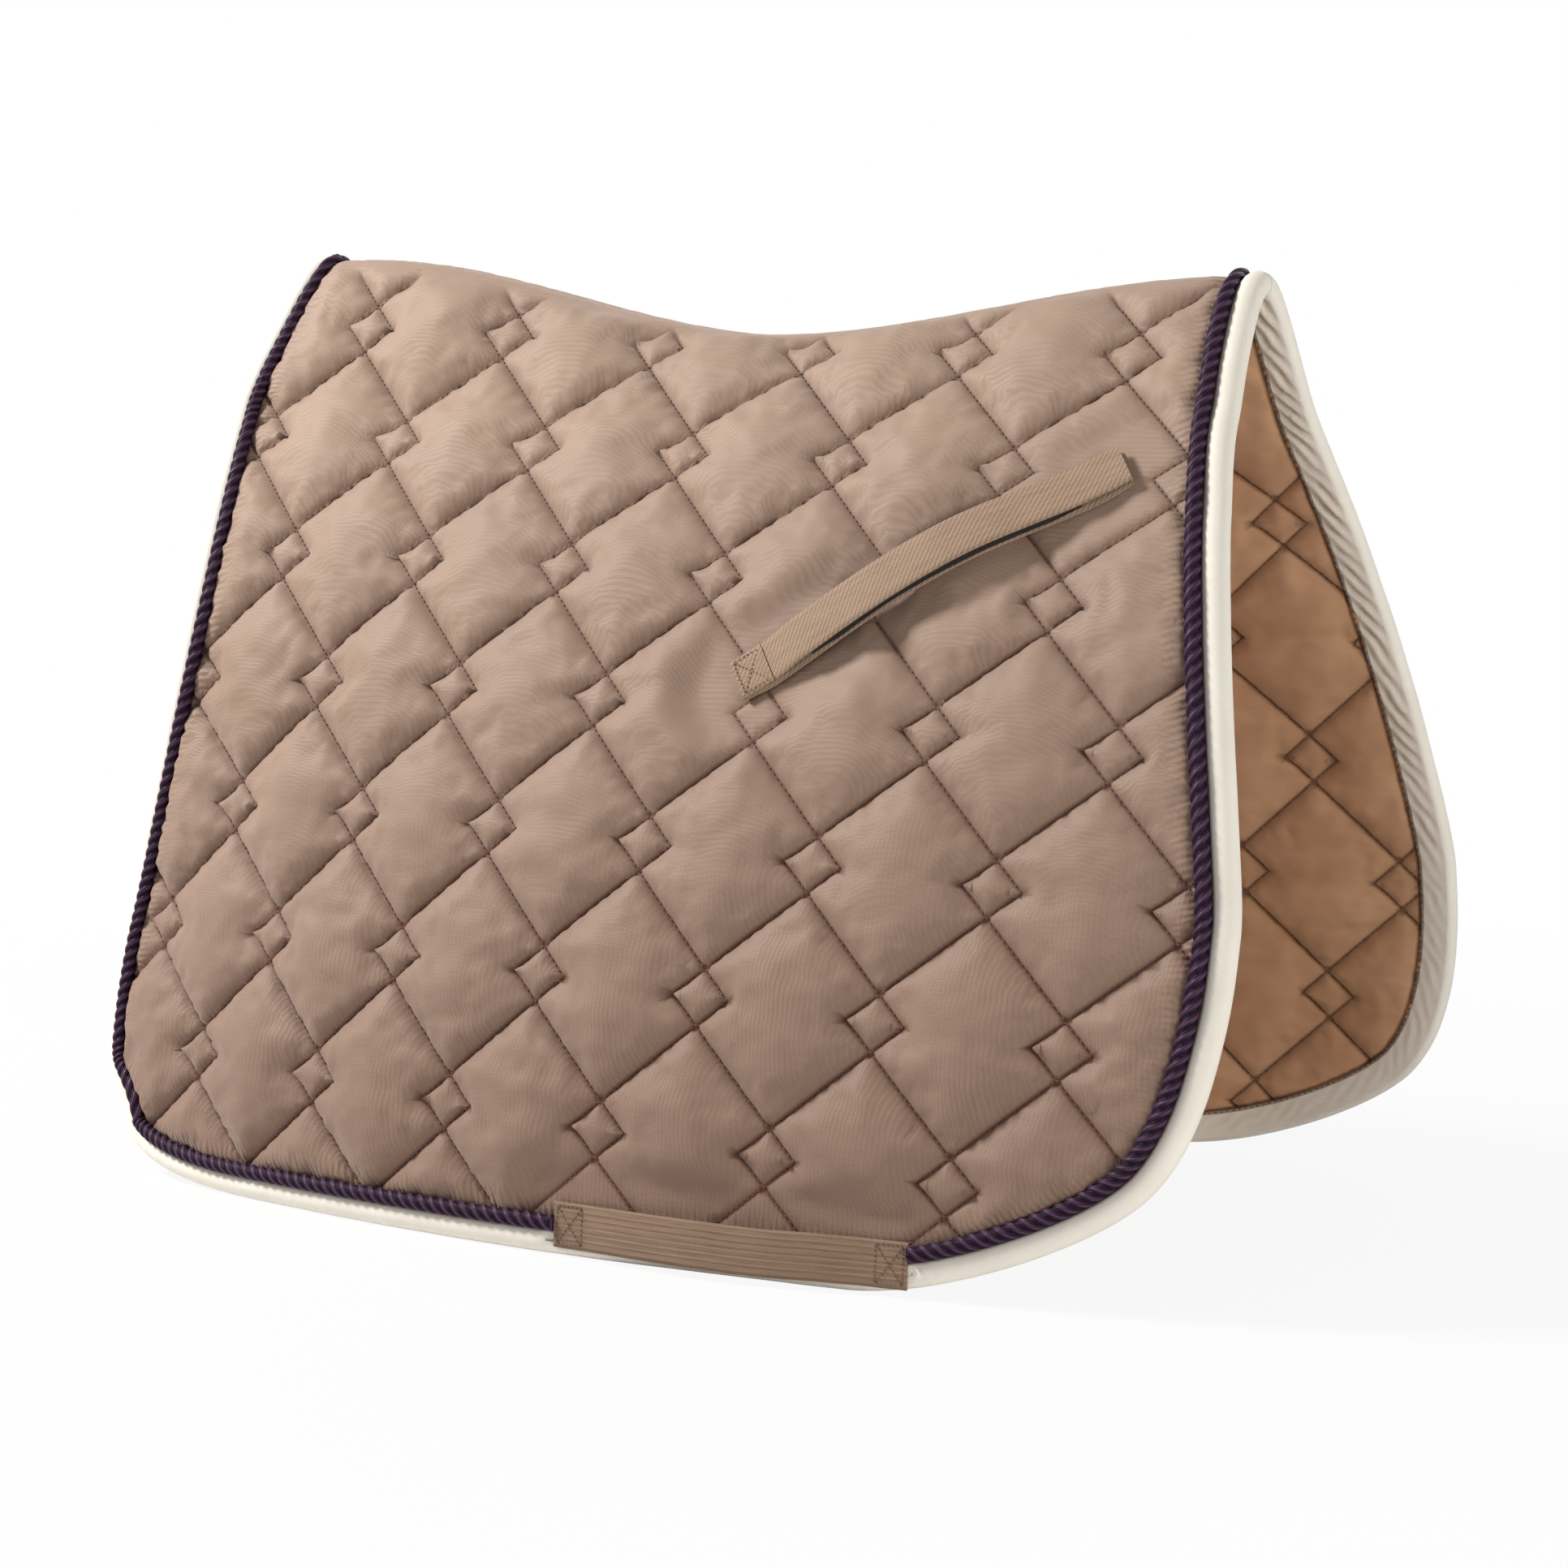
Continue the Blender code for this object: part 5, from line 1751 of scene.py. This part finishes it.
# ------------------------------------------------------------ binding and cord
@dataclass
class EdgeBinding:
    """Cream binding folded over the whole edge of one side."""

    side: Side
    material: bpy.types.Material
    thread: bpy.types.Material
    step: float = 0.0028
    outer_lap: float = 0.0130
    inner_lap: float = 0.0200
    bend: float = 0.0040
    nose: float = 0.0046
    nose_angle: float = 70.0
    lap_top: float = 0.0059
    thickness: float = 0.0012
    plump: float = 0.0018
    soft: float = 0.00035
    pucker: float = 0.0016
    pucker_pitch: float = 0.0150
    pucker_slant: float = 1.9
    pucker_low: float = 0.42
    pucker_from: float = 13.0
    pucker_fade: float = 19.0
    pucker_ease: float = 4.0
    keeper_margin: float = 0.008
    stitch_inset: float = 0.0194
    stitch_pitch: float = 0.0046
    stitch_seat: float = 0.0061
    stitch_clear: float = 0.010
    stitch: Stitch = Stitch(0.0034, 0.0005, 0.0004, 0.0008, -0.0002, 0.0)

    def profile(self) -> tuple[Array, Array]:
        """Section through the folded tape.

        Returns:
            Outer and inner skin, N x 2: inset from the edge and height.
        """
        top = self.lap_top
        u = np.linspace(0.0, 1.0, 7)
        turn = np.radians(np.linspace(self.nose_angle, -self.nose_angle, 7))
        v = np.array([*np.linspace(0.0, 0.88, 9), 0.90, 1.0])
        inset = (self.outer_lap + (self.bend - self.outer_lap) * u, self.nose - self.nose * np.cos(turn),
                 self.bend + (self.inner_lap - self.bend) * v)
        height = (top + self.plump * np.sin(np.pi * u * 0.9), (top + 0.0003) * np.sin(turn),
                  -top - 0.0005 * np.sin(np.pi * v))
        skin = np.column_stack([np.concatenate(inset), np.concatenate(height)])
        inner = skin * (1.0, 1.0 - self.thickness / top)
        inner[:, 0] = np.where(skin[:, 0] > self.bend, skin[:, 0], skin[:, 0] * 0.55 + 0.0020)
        inner[0] = skin[0] - (0.0, self.thickness)
        inner[-1] = skin[-1] + (0.0, self.thickness)
        return skin, inner

    def gathered(self, line: Array, loop: Array, lap: Array) -> tuple[Array, Array]:
        """Gather the inner lap and flatten the outer one under the keeper.

        Args:
            line: N x 2 points of the edge.
            loop: M x 2 section of the tape.
            lap: place of each point of the section across the tape.

        Returns:
            N x M heights, and how deep in a gather's valley each point lies, for the painted shade there.
        """
        run = np.arange(len(line)) * self.step
        side, still = self.side.value, run * 0.0
        on_inner = smoothstep((lap - self.pucker_from) / self.pucker_ease)
        on_inner = on_inner * (1.0 - 0.55 * smoothstep((lap - self.pucker_fade) / self.pucker_ease))
        wave = TURN * (run[:, None] - self.pucker_slant * loop[None, :, 0]) / self.pucker_pitch
        drift = 4.6 * ripple(run, still, 41 + side, 0.075) + 0.6 * ripple(run, still, 43, 0.02)
        folds = np.sin(wave + drift[:, None])
        above = smoothstep(1.0 - line[:, 1] / self.pucker_low)
        strong = (0.22 + 0.93 * above) * (0.75 + 0.45 * ripple(run, still, 47 + side, 0.05))
        strong = np.clip(strong, 0.1, 1.2)[:, None]
        height = loop[None, :, 1] - self.pucker * on_inner * folds * strong
        under = ((line[:, 0] > KEEPER.rear_s - self.keeper_margin)
                 & (line[:, 0] < KEEPER.front_s + self.keeper_margin) & (line[:, 1] > KEEPER.w - 0.02))
        raised = np.maximum(height - self.lap_top, 0.0) * (loop[:, 0] > 0.0035)
        height = height - raised * under[:, None]
        height = height + self.soft * ripple(run, still, 53 + side, 0.050)[:, None] * (1.0 - on_inner)
        return height, 0.5 * (1.0 - folds) * on_inner * strong

    def build(self) -> list[bpy.types.Object]:
        """Sweep the fold along the edge and sew it down.

        Returns:
            The binding and its row of stitches.
        """
        line, inward = OUTLINE.curve(self.step)
        skin, inner = self.profile()
        rows, half = len(line), len(skin)
        count = 2 * half
        loop = np.vstack([skin, inner[::-1]])
        lap = np.concatenate([np.arange(half), np.arange(half)[::-1]])
        height, valley = self.gathered(line, loop, lap)
        flat = np.empty((rows, count, 3))
        flat[..., :2] = line[:, None] + inward[:, None] * loop[None, :, :1]
        flat[..., 2] = height
        for row in (0, -1):
            flat[row, :, 1] = -DRAPE.crest_width(flat[row, :, 0])
        faces = grid(rows, count, True)
        for start in (0, (rows - 1) * count):
            faces += [(start + k, start + k + 1, start + count - 2 - k, start + count - 1 - k)
                      for k in range(half - 1)]
        local = np.zeros((rows, count, 3))
        local[..., 0] = (np.arange(rows) * self.step)[:, None]
        local[..., 1] = arc_length(skin)[lap]
        # The crown attribute carries the valley depth that the binding finish paints as shade.
        numbers = {"groove": np.tile(0.6 * (lap >= half - 2), rows), "crown": valley.ravel()}
        obj = make_piece(f"{self.side.word}_edge_binding_fold", DRAPE.lay(flat, self.side), faces,
                         local.reshape(-1, 3), Dress(self.material, "binding"), numbers)
        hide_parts(f"{self.side.word}_edge_binding", "front_arch_binding", "rear_arch_binding")
        across_fold(obj, self.side)
        return [obj, self.stitches(line, inward)]

    def stitches(self, line: Array, inward: Array) -> bpy.types.Object:
        """Sew the row of stitches that holds the inner lap.

        Args:
            line: N x 2 points of the edge.
            inward: their inward normals.

        Returns:
            The thread piece.
        """
        run = arc_length(line)
        at = np.arange(self.stitch_clear, run[-1] - self.stitch_clear, self.stitch_pitch)
        centre, normal = (np.stack([np.interp(at, run, block[:, k]) for k in (0, 1)], axis=1)
                          for block in (line, inward))
        normal /= np.linalg.norm(normal, axis=1)[:, None]
        corners = self.stitch.along(centre + normal * self.stitch_inset,
                                    np.column_stack([normal[:, 1], -normal[:, 0]]))
        corners[..., 2] = -self.stitch_seat - corners[..., 2]
        obj = sew(f"{self.side.word}_binding_thread", corners, self.side, self.thread)
        across_fold(obj, self.side)
        return obj


@dataclass
class TwistedCord:
    """Three-strand cord sewn along the inner edge of the binding."""

    side: Side
    material: bpy.types.Material
    inset: float = 0.0178
    height: float = 0.0075
    radius: float = 0.0045
    slimmer: float = 0.0009
    lower: float = 0.0014
    tuck_reach: float = 0.034
    lay_length: float = 0.0225
    strands: int = 3
    strand_low: float = 0.70
    strand_rise: float = 0.34
    strand_round: float = 0.75
    step: float = 0.0016
    around: int = 27

    def runs(self) -> list[tuple[str, int, Array, Array]]:
        """Cut the edge where the keeper interrupts the cord.

        Returns:
            For each run its name, the row at the crest, its points and their
            inward normals.
        """
        line, inward = OUTLINE.curve(self.step)
        reach = (line + inward * self.inset)[:, 0]
        above = line[:, 1] <= KEEPER.w
        middle = int(np.argmax(line[:, 1] * (np.abs(line[:, 0] - 0.05) < 0.06)))
        index = np.arange(len(line))
        rear = (index < middle) & (above | (reach < KEEPER.rear_s - 0.0003))
        front = (index > middle) & (above | (reach > KEEPER.front_s))
        return [("rear", 0, line[rear], inward[rear]), ("front", -1, line[front], inward[front])]

    def build(self) -> list[bpy.types.Object]:
        """Twist the strands along both runs.

        Returns:
            The rear and the front cord.
        """
        made = []
        angle = np.arange(self.around) / self.around * TURN
        for end, crest, line, inward in self.runs():
            length = arc_length(line)
            turned = angle[None, :] - (TURN * length / self.lay_length)[:, None]
            lobe = np.abs(np.cos(turned * self.strands / 2.0))
            tuck = 1.0 - smoothstep((line[:, 1] + DRAPE.crest_width(line[:, 0])) / self.tuck_reach)[:, None]
            size = self.radius - self.slimmer * tuck
            size = size * (self.strand_low + self.strand_rise * lobe ** self.strand_round)
            inset = self.inset + size * np.cos(angle)
            flat = np.empty((*turned.shape, 3))
            flat[..., :2] = line[:, None] + inward[:, None] * inset[..., None]
            flat[..., 2] = self.height - self.lower * tuck + size * np.sin(angle)
            flat[crest, :, 1] = -DRAPE.crest_width(flat[crest, :, 0])
            local = np.zeros_like(flat)
            local[..., 0] = turned * self.strands / TURN
            local[..., 1] = length[:, None]
            # The crown attribute marks each strand's crest, where the cord finish paints its highlight.
            obj = make_piece(f"{self.side.word}_twisted_cord_{end}", DRAPE.lay(flat, self.side),
                             tube(*turned.shape), local.reshape(-1, 3), Dress(self.material, "cord"),
                             {"crown": lobe.ravel()})
            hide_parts(f"{self.side.word}_cord_{end}", f"{end}_arch_cord")
            across_fold(obj, self.side)
            made.append(obj)
        return made


# --------------------------------------------------------------------- straps
@dataclass
class Band:
    """A flat woven band laid along a straight line of the flat pattern."""

    name: str
    axes: tuple[Array, Array, Array]
    run: tuple[float, float]
    width: float
    thickness: float
    underside: Callable[[Array], Array]
    step: float = 0.0024
    columns: int = 9
    wobble: float = 0.00025
    wobble_size: float = 0.070
    seed: int = 3
    shift: float = 0.0
    shift_ease: float = 0.020
    cup: float = 0.0002
    shoulder: float = 0.0004
    selvedge: float = 0.0001

    def section(self) -> Array:
        """Rounded section of the band.

        Returns:
            N x 2 corners: across and up.
        """
        half, thick = self.width / 2.0, self.thickness
        edge = np.linspace(-1.0, 1.0, self.columns)
        flank = np.array([(half - self.selvedge, 0.72), (half, 0.5), (half - self.selvedge, 0.28)]) * (1.0, thick)
        top = np.column_stack([edge * (half - self.shoulder), thick - self.selvedge * np.abs(edge) ** 6])
        low = np.column_stack([edge[::-1] * (half - self.shoulder), 0.0 * edge])
        return np.vstack([top, flank, low, flank[::-1] * (-1.0, 1.0)])

    def build(self, side: Side, dress: Dress) -> bpy.types.Object:
        """Loft the section along the band.

        Args:
            side: side of the pad.
            dress: material, and a slot name that is not used.

        Returns:
            The band.
        """
        origin, along, across = self.axes
        first, last = self.run
        a = np.linspace(first, last, max(int(round((last - first) / self.step)), 4) + 1)
        sides = self.section()
        swing = self.wobble * ripple(a, a * 0.0, self.seed, self.wobble_size)
        swing += self.shift * smoothstep(np.minimum(a - first, last - a) / self.shift_ease)
        reach = sides[None, :, 0] + swing[:, None]
        flat = np.zeros((len(a), len(sides), 3))
        flat[..., :2] = origin + a[:, None, None] * along + reach[..., None] * across
        cup = self.cup * (1.0 - (sides[:, 0] / (self.width / 2.0)) ** 2)
        flat[..., 2] = self.underside(a)[:, None] + sides[:, 1] + cup
        local = np.zeros_like(flat)
        local[..., 0] = a[:, None]
        local[..., 1:] = sides
        obj = make_piece(self.name, DRAPE.lay(flat, side), tube(len(a), len(sides)), local.reshape(-1, 3), dress)
        obj.data.set_sharp_from_angle(angle=math.radians(50.0))
        return obj


@dataclass
class BoxStitching:
    """Box-and-cross stitching made of separate stitches, on the face of a band."""

    side: Side
    thread: bpy.types.Material
    axes: tuple[Array, Array, Array]
    sewn: float
    width: float
    margin: float = 0.0022
    seat: float = 0.0003
    pitch: float = 0.0027
    filled: float = 0.88
    stitch: Stitch = Stitch(0.0024, 0.00042, 0.0002, 0.00062, -0.0002, -0.0002)

    def build(self, name: str, node: str, at: float, face: float) -> bpy.types.Object:
        """Sew the four sides and the two diagonals.

        Args:
            name: piece name.
            node: CAD node that it stands for.
            at: middle of the box along the band.
            face: height of the band's face.

        Returns:
            The thread piece.
        """
        origin, along, across = self.axes
        a, b = self.sewn / 2.0 - self.margin, self.width / 2.0 - self.margin
        box = np.array([(-a, -b), (a, -b), (a, b), (-a, b)])
        rows = []
        for start, end in ((0, 1), (1, 2), (2, 3), (3, 0), (0, 2), (1, 3)):
            reach = box[end] - box[start]
            total = np.linalg.norm(reach)
            count = max(int(round(total / self.pitch)), 2)
            centres = box[start] + reach * ((np.arange(count) + 0.5) / count)[:, None]
            rows.append(self.stitch.along(centres, reach / total, total / count * self.filled))
        corners = np.vstack(rows)
        place = origin + (at + corners[..., :1]) * along + corners[..., 1:2] * across
        corners = np.concatenate([place, face + self.seat + corners[..., 2:]], axis=2)
        obj = sew(name, corners, self.side, self.thread)
        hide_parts(node)
        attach(obj, f"{self.side.word}_flap")
        return obj


@dataclass
class BilletStrap:
    """Two layers of webbing closed by hook and loop, sewn to the flap."""

    side: Side
    webbing: bpy.types.Material
    tape: bpy.types.Material
    thread: bpy.types.Material
    inner_shift: float = 0.0018
    loop_shift: float = 0.0013
    hook_shift: float = 0.0011

    def build(self) -> None:
        """Make the layers from the flap outwards and their stitching."""
        plan, word = STRAP, self.side.word
        flap, peel = f"{word}_flap", f"{word}_strap"
        webbing, tape = Dress(self.webbing, "webbing"), Dress(self.tape, "hook_and_loop")
        taped = (plan.tape_start, plan.length - plan.tape_end_margin)
        free = (plan.sewn + plan.hinge_gap, plan.length)
        layers = (
            ("strap_inner", (0.0, plan.length), self.inner_shift, plan.inner, webbing, flap),
            ("strap_sewn_end", (0.0, plan.sewn), 0.0, plan.second, webbing, flap),
            ("loop_tape", taped, self.loop_shift, plan.second, tape, flap),
            ("hook_tape", taped, self.hook_shift, plan.third, tape, peel),
            ("strap_outer", free, 0.0, plan.outer, webbing, peel),
        )
        for name, run, shift, level, dress, body in layers:
            width, thick = (plan.tape_width, plan.tape) if dress is tape else (plan.width, plan.webbing)
            band = Band(f"{word}_{name}_band", plan.axes(), run, width, thick, level, seed=len(name), shift=shift)
            obj = band.build(self.side, dress)
            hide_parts(f"{word}_{name}")
            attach(obj, body)
        box = BoxStitching(self.side, self.thread, plan.axes(), plan.sewn, plan.width)
        rear, front = plan.sewn / 2.0, plan.length - plan.sewn / 2.0
        for end, at, level in (("rear", rear, plan.second), ("front", front, plan.inner)):
            box.build(f"{word}_billet_stitching_{end}", f"{word}_strap_stitch_{end}", at,
                      float(level(at)) + plan.webbing)


@dataclass
class GirthKeeper:
    """Darker webbing loop near the bottom edge, sewn down at both ends."""

    side: Side
    webbing: bpy.types.Material
    thread: bpy.types.Material

    def build(self) -> None:
        """Make the webbing and its two boxes of stitching."""
        plan, word = KEEPER, self.side.word
        length = plan.front_s - plan.rear_s
        axes = (np.array([plan.rear_s, plan.w]), np.array([1.0, 0.0]), np.array([0.0, 1.0]))
        band = Band(f"{word}_girth_keeper_band", axes, (0.0, length), plan.width, plan.webbing, plan.level, seed=9)
        obj = band.build(self.side, Dress(self.webbing, "webbing_dark"))
        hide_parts(f"{word}_girth_keeper")
        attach(obj, f"{word}_flap")
        box = BoxStitching(self.side, self.thread, axes, plan.sewn, plan.width)
        for end, at in (("rear", plan.sewn / 2.0), ("front", length - plan.sewn / 2.0)):
            box.build(f"{word}_keeper_stitching_{end}", f"{word}_keeper_stitch_{end}", at,
                      plan.seat + plan.webbing)


@dataclass
class SpineTape:
    """Tape sewn over the spine seam on the inside."""

    material: bpy.types.Material
    width: float = 0.0160
    thickness: float = 0.0012
    under: float = 0.0048
    crown: float = 0.0002
    margin: float = 0.0500
    step: float = 0.004
    columns: int = 9

    def build(self) -> bpy.types.Object:
        """Lay the tape under the crest, bent over it.

        Returns:
            The tape.
        """
        stations = np.arange(OUTLINE.rear_top_s + self.margin, OUTLINE.front_top_s - self.margin, self.step)
        half = self.width / 2.0
        across = np.linspace(-half, half, self.columns)
        across = np.concatenate([across, across[::-1]])
        level = np.repeat([0.0, self.thickness], self.columns)
        flat = np.empty((len(stations), len(across), 3))
        flat[..., 0] = stations[:, None]
        flat[..., 1] = np.abs(across) - DRAPE.crest_width(stations)[:, None]
        flat[..., 2] = -self.under - level - self.crown * np.cos(np.pi * across / half)
        placed = np.empty_like(flat)
        for side, mine in ((Side.RIGHT, across < 0.0), (Side.LEFT, across >= 0.0)):
            placed[:, mine] = DRAPE.lay(flat[:, mine], side).reshape(len(stations), -1, 3)
        flat[..., 1] = across
        plain = {key: np.zeros(flat[..., 0].size) for key in ("groove", "crown")}
        obj = make_piece("spine_seam_cover_tape", placed.reshape(-1, 3), tube(*flat.shape[:2]),
                         flat.reshape(-1, 3), Dress(self.material, "binding"), plain)
        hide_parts("spine_seam_tape")
        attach(obj, "ridge")
        return obj


# ------------------------------------------------------------------ whole side
@dataclass
class PadSide:
    """One side of the pad with everything that is sewn to it."""

    side: Side
    finishes: dict[str, bpy.types.Material]
    cut: tuple[float, float] = (0.754, 0.614)

    def build(self) -> None:
        """Puff the panel, then sew on the layers from the cloth outwards."""
        side, wear = self.side, self.finishes
        panel = Panel(side)
        area = panel.area()
        LOG.info("%s panel: %d points, cloth area %.4f", side.word, len(panel.flat), area)
        puffed = Puffing().heights(panel)
        outer_cloth = QuiltedCloth(side, Face.OUTER, panel, puffed, wear["twill"])
        inner_cloth = QuiltedCloth(side, Face.INNER, panel, puffed, wear["lining"], share=0.62, pucker=0.0012,
                                   edge_pucker=0.0006)
        wadding = Wadding(side, outer_cloth, inner_cloth, wear["fibre"]).build()
        cover, inner = outer_cloth.build(), inner_cloth.build()
        outer_thread = SeamStitches(side, Face.OUTER, panel, wear["thread"]).build()
        inner_thread = SeamStitches(side, Face.INNER, panel, wear["thread"]).build()
        fold, fold_thread = EdgeBinding(side, wear["cream"], wear["thread"]).build()
        cords = TwistedCord(side, wear["aubergine"]).build()
        BilletStrap(side, wear["billet"], wear["pile"], wear["thread"]).build()
        GirthKeeper(side, wear["keeper"], wear["thread"]).build()


# --------------------------------------------------------------------- studio
@dataclass(frozen=True)
class Lamp:
    """A round soft lamp aimed at the pad."""

    name: str
    place: tuple[float, float, float]
    size: float
    power: float
    colour: Colour
    aim: tuple[float, float, float] = (0.0, 0.0, 0.28)

    def build(self) -> None:
        """Hang the lamp."""
        lamp = bpy.data.lights.new(self.name, "AREA")
        lamp.shape = "DISK"
        lamp.size = self.size
        lamp.energy = self.power
        lamp.color = self.colour
        obj = bpy.data.objects.new(self.name, lamp)
        obj.location = self.place
        obj.rotation_euler = (Vector(self.aim) - Vector(self.place)).to_track_quat("-Z", "Y").to_euler()
        bpy.context.scene.collection.objects.link(obj)


@dataclass
class Studio:
    """Pale floor, soft lamps and the camera."""

    azimuth: float = math.radians(29.034)
    elevation: float = math.radians(5.337)
    distance: float = 2.09625
    target: tuple[float, float, float] = (-0.03583, 0.09424, 0.22779)
    lens: float = 76.84
    floor_size: float = 9.0
    floor_cells: int = 24
    floor_z: float = -0.0006
    sky: Colour = (1.0, 0.98, 0.96)
    sky_strength: float = 0.19
    lamps: tuple[Lamp, ...] = (
        Lamp("key", (-2.15, -1.08, 2.28), 0.8, 122.0, (1.0, 0.97, 0.94)),
        Lamp("fill", (2.5, -1.0, 0.6), 1.3, 29.0, (1.0, 0.97, 0.94)),
        Lamp("back", (0.4, 2.4, 1.8), 1.8, 14.0, (0.95, 0.97, 1.0)),
    )

    def build(self) -> None:
        """Set the stage."""
        self.floor()
        self.world()
        for lamp in self.lamps:
            lamp.build()
        self.camera()
        bpy.context.scene.view_settings.view_transform = "Standard"

    def floor(self) -> None:
        """A flat pale floor just under the pad."""
        line = np.linspace(-self.floor_size / 2.0, self.floor_size / 2.0, self.floor_cells + 1)
        xs, ys = np.meshgrid(line, line)
        points = np.column_stack([xs.ravel(), ys.ravel(), np.full(xs.size, self.floor_z)])
        mesh = bpy.data.meshes.new("studio_floor")
        mesh.from_pydata(points.tolist(), [], grid(len(line), len(line)))
        mesh.update()
        obj = bpy.data.objects.new("studio_floor", mesh)
        bpy.context.scene.collection.objects.link(obj)
        mesh.materials.append(FloorFinish().material())

    def world(self) -> None:
        """White where it is seen, a plain soft light otherwise."""
        world = bpy.data.worlds.new("studio_world")
        bpy.context.scene.world = world
        book = NodeBook(world, "ShaderNodeOutputWorld")
        soft, white = (book.node("ShaderNodeBackground", {}, {"Color": (*colour, 1.0), "Strength": strength})
                       for colour, strength in ((self.sky, self.sky_strength), ((1.0, 1.0, 1.0), 1.0)))
        book.seen_or(1.0, soft, white)

    def camera(self) -> None:
        """The photograph's viewing angle."""
        level = math.cos(self.elevation)
        back = Vector((math.sin(self.azimuth) * level, -math.cos(self.azimuth) * level, math.sin(self.elevation)))
        data = bpy.data.cameras.new("camera")
        data.lens = self.lens
        data.sensor_width = 36.0
        data.clip_end = 50.0
        obj = bpy.data.objects.new("camera", data)
        obj.location = Vector(self.target) + back * self.distance
        obj.rotation_euler = back.to_track_quat("Z", "Y").to_euler()
        bpy.context.scene.collection.objects.link(obj)
        bpy.context.scene.camera = obj


def main() -> None:
    """Build the pad, piece by piece, over its frame."""
    logging.basicConfig(level=logging.INFO, format="%(name)s: %(message)s")
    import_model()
    Studio().build()
    finishes = {
        "twill": TwillFinish(),
        "lining": LiningFinish(),
        "fibre": WaddingFinish(),
        "cream": BindingFinish(),
        "aubergine": CordFinish(),
        "billet": WebbingFinish("billet_webbing", (0.460, 0.323, 0.232), (0.239, 0.158, 0.102)),
        "keeper": WebbingFinish("keeper_webbing", (0.341, 0.228, 0.158), (0.164, 0.106, 0.069), rib=0.0031,
                                slant=0.0, picks=0.03),
        "pile": TapeFinish(),
        "thread": ThreadFinish("brown_thread", (0.208, 0.124, 0.078), (0.080, 0.042, 0.025)),
    }
    wear = {word: finish.material() for word, finish in finishes.items()}
    for side in (Side.RIGHT, Side.LEFT):
        PadSide(side, wear).build()
    SpineTape(wear["cream"]).build()


if __name__ == "__main__":
    main()
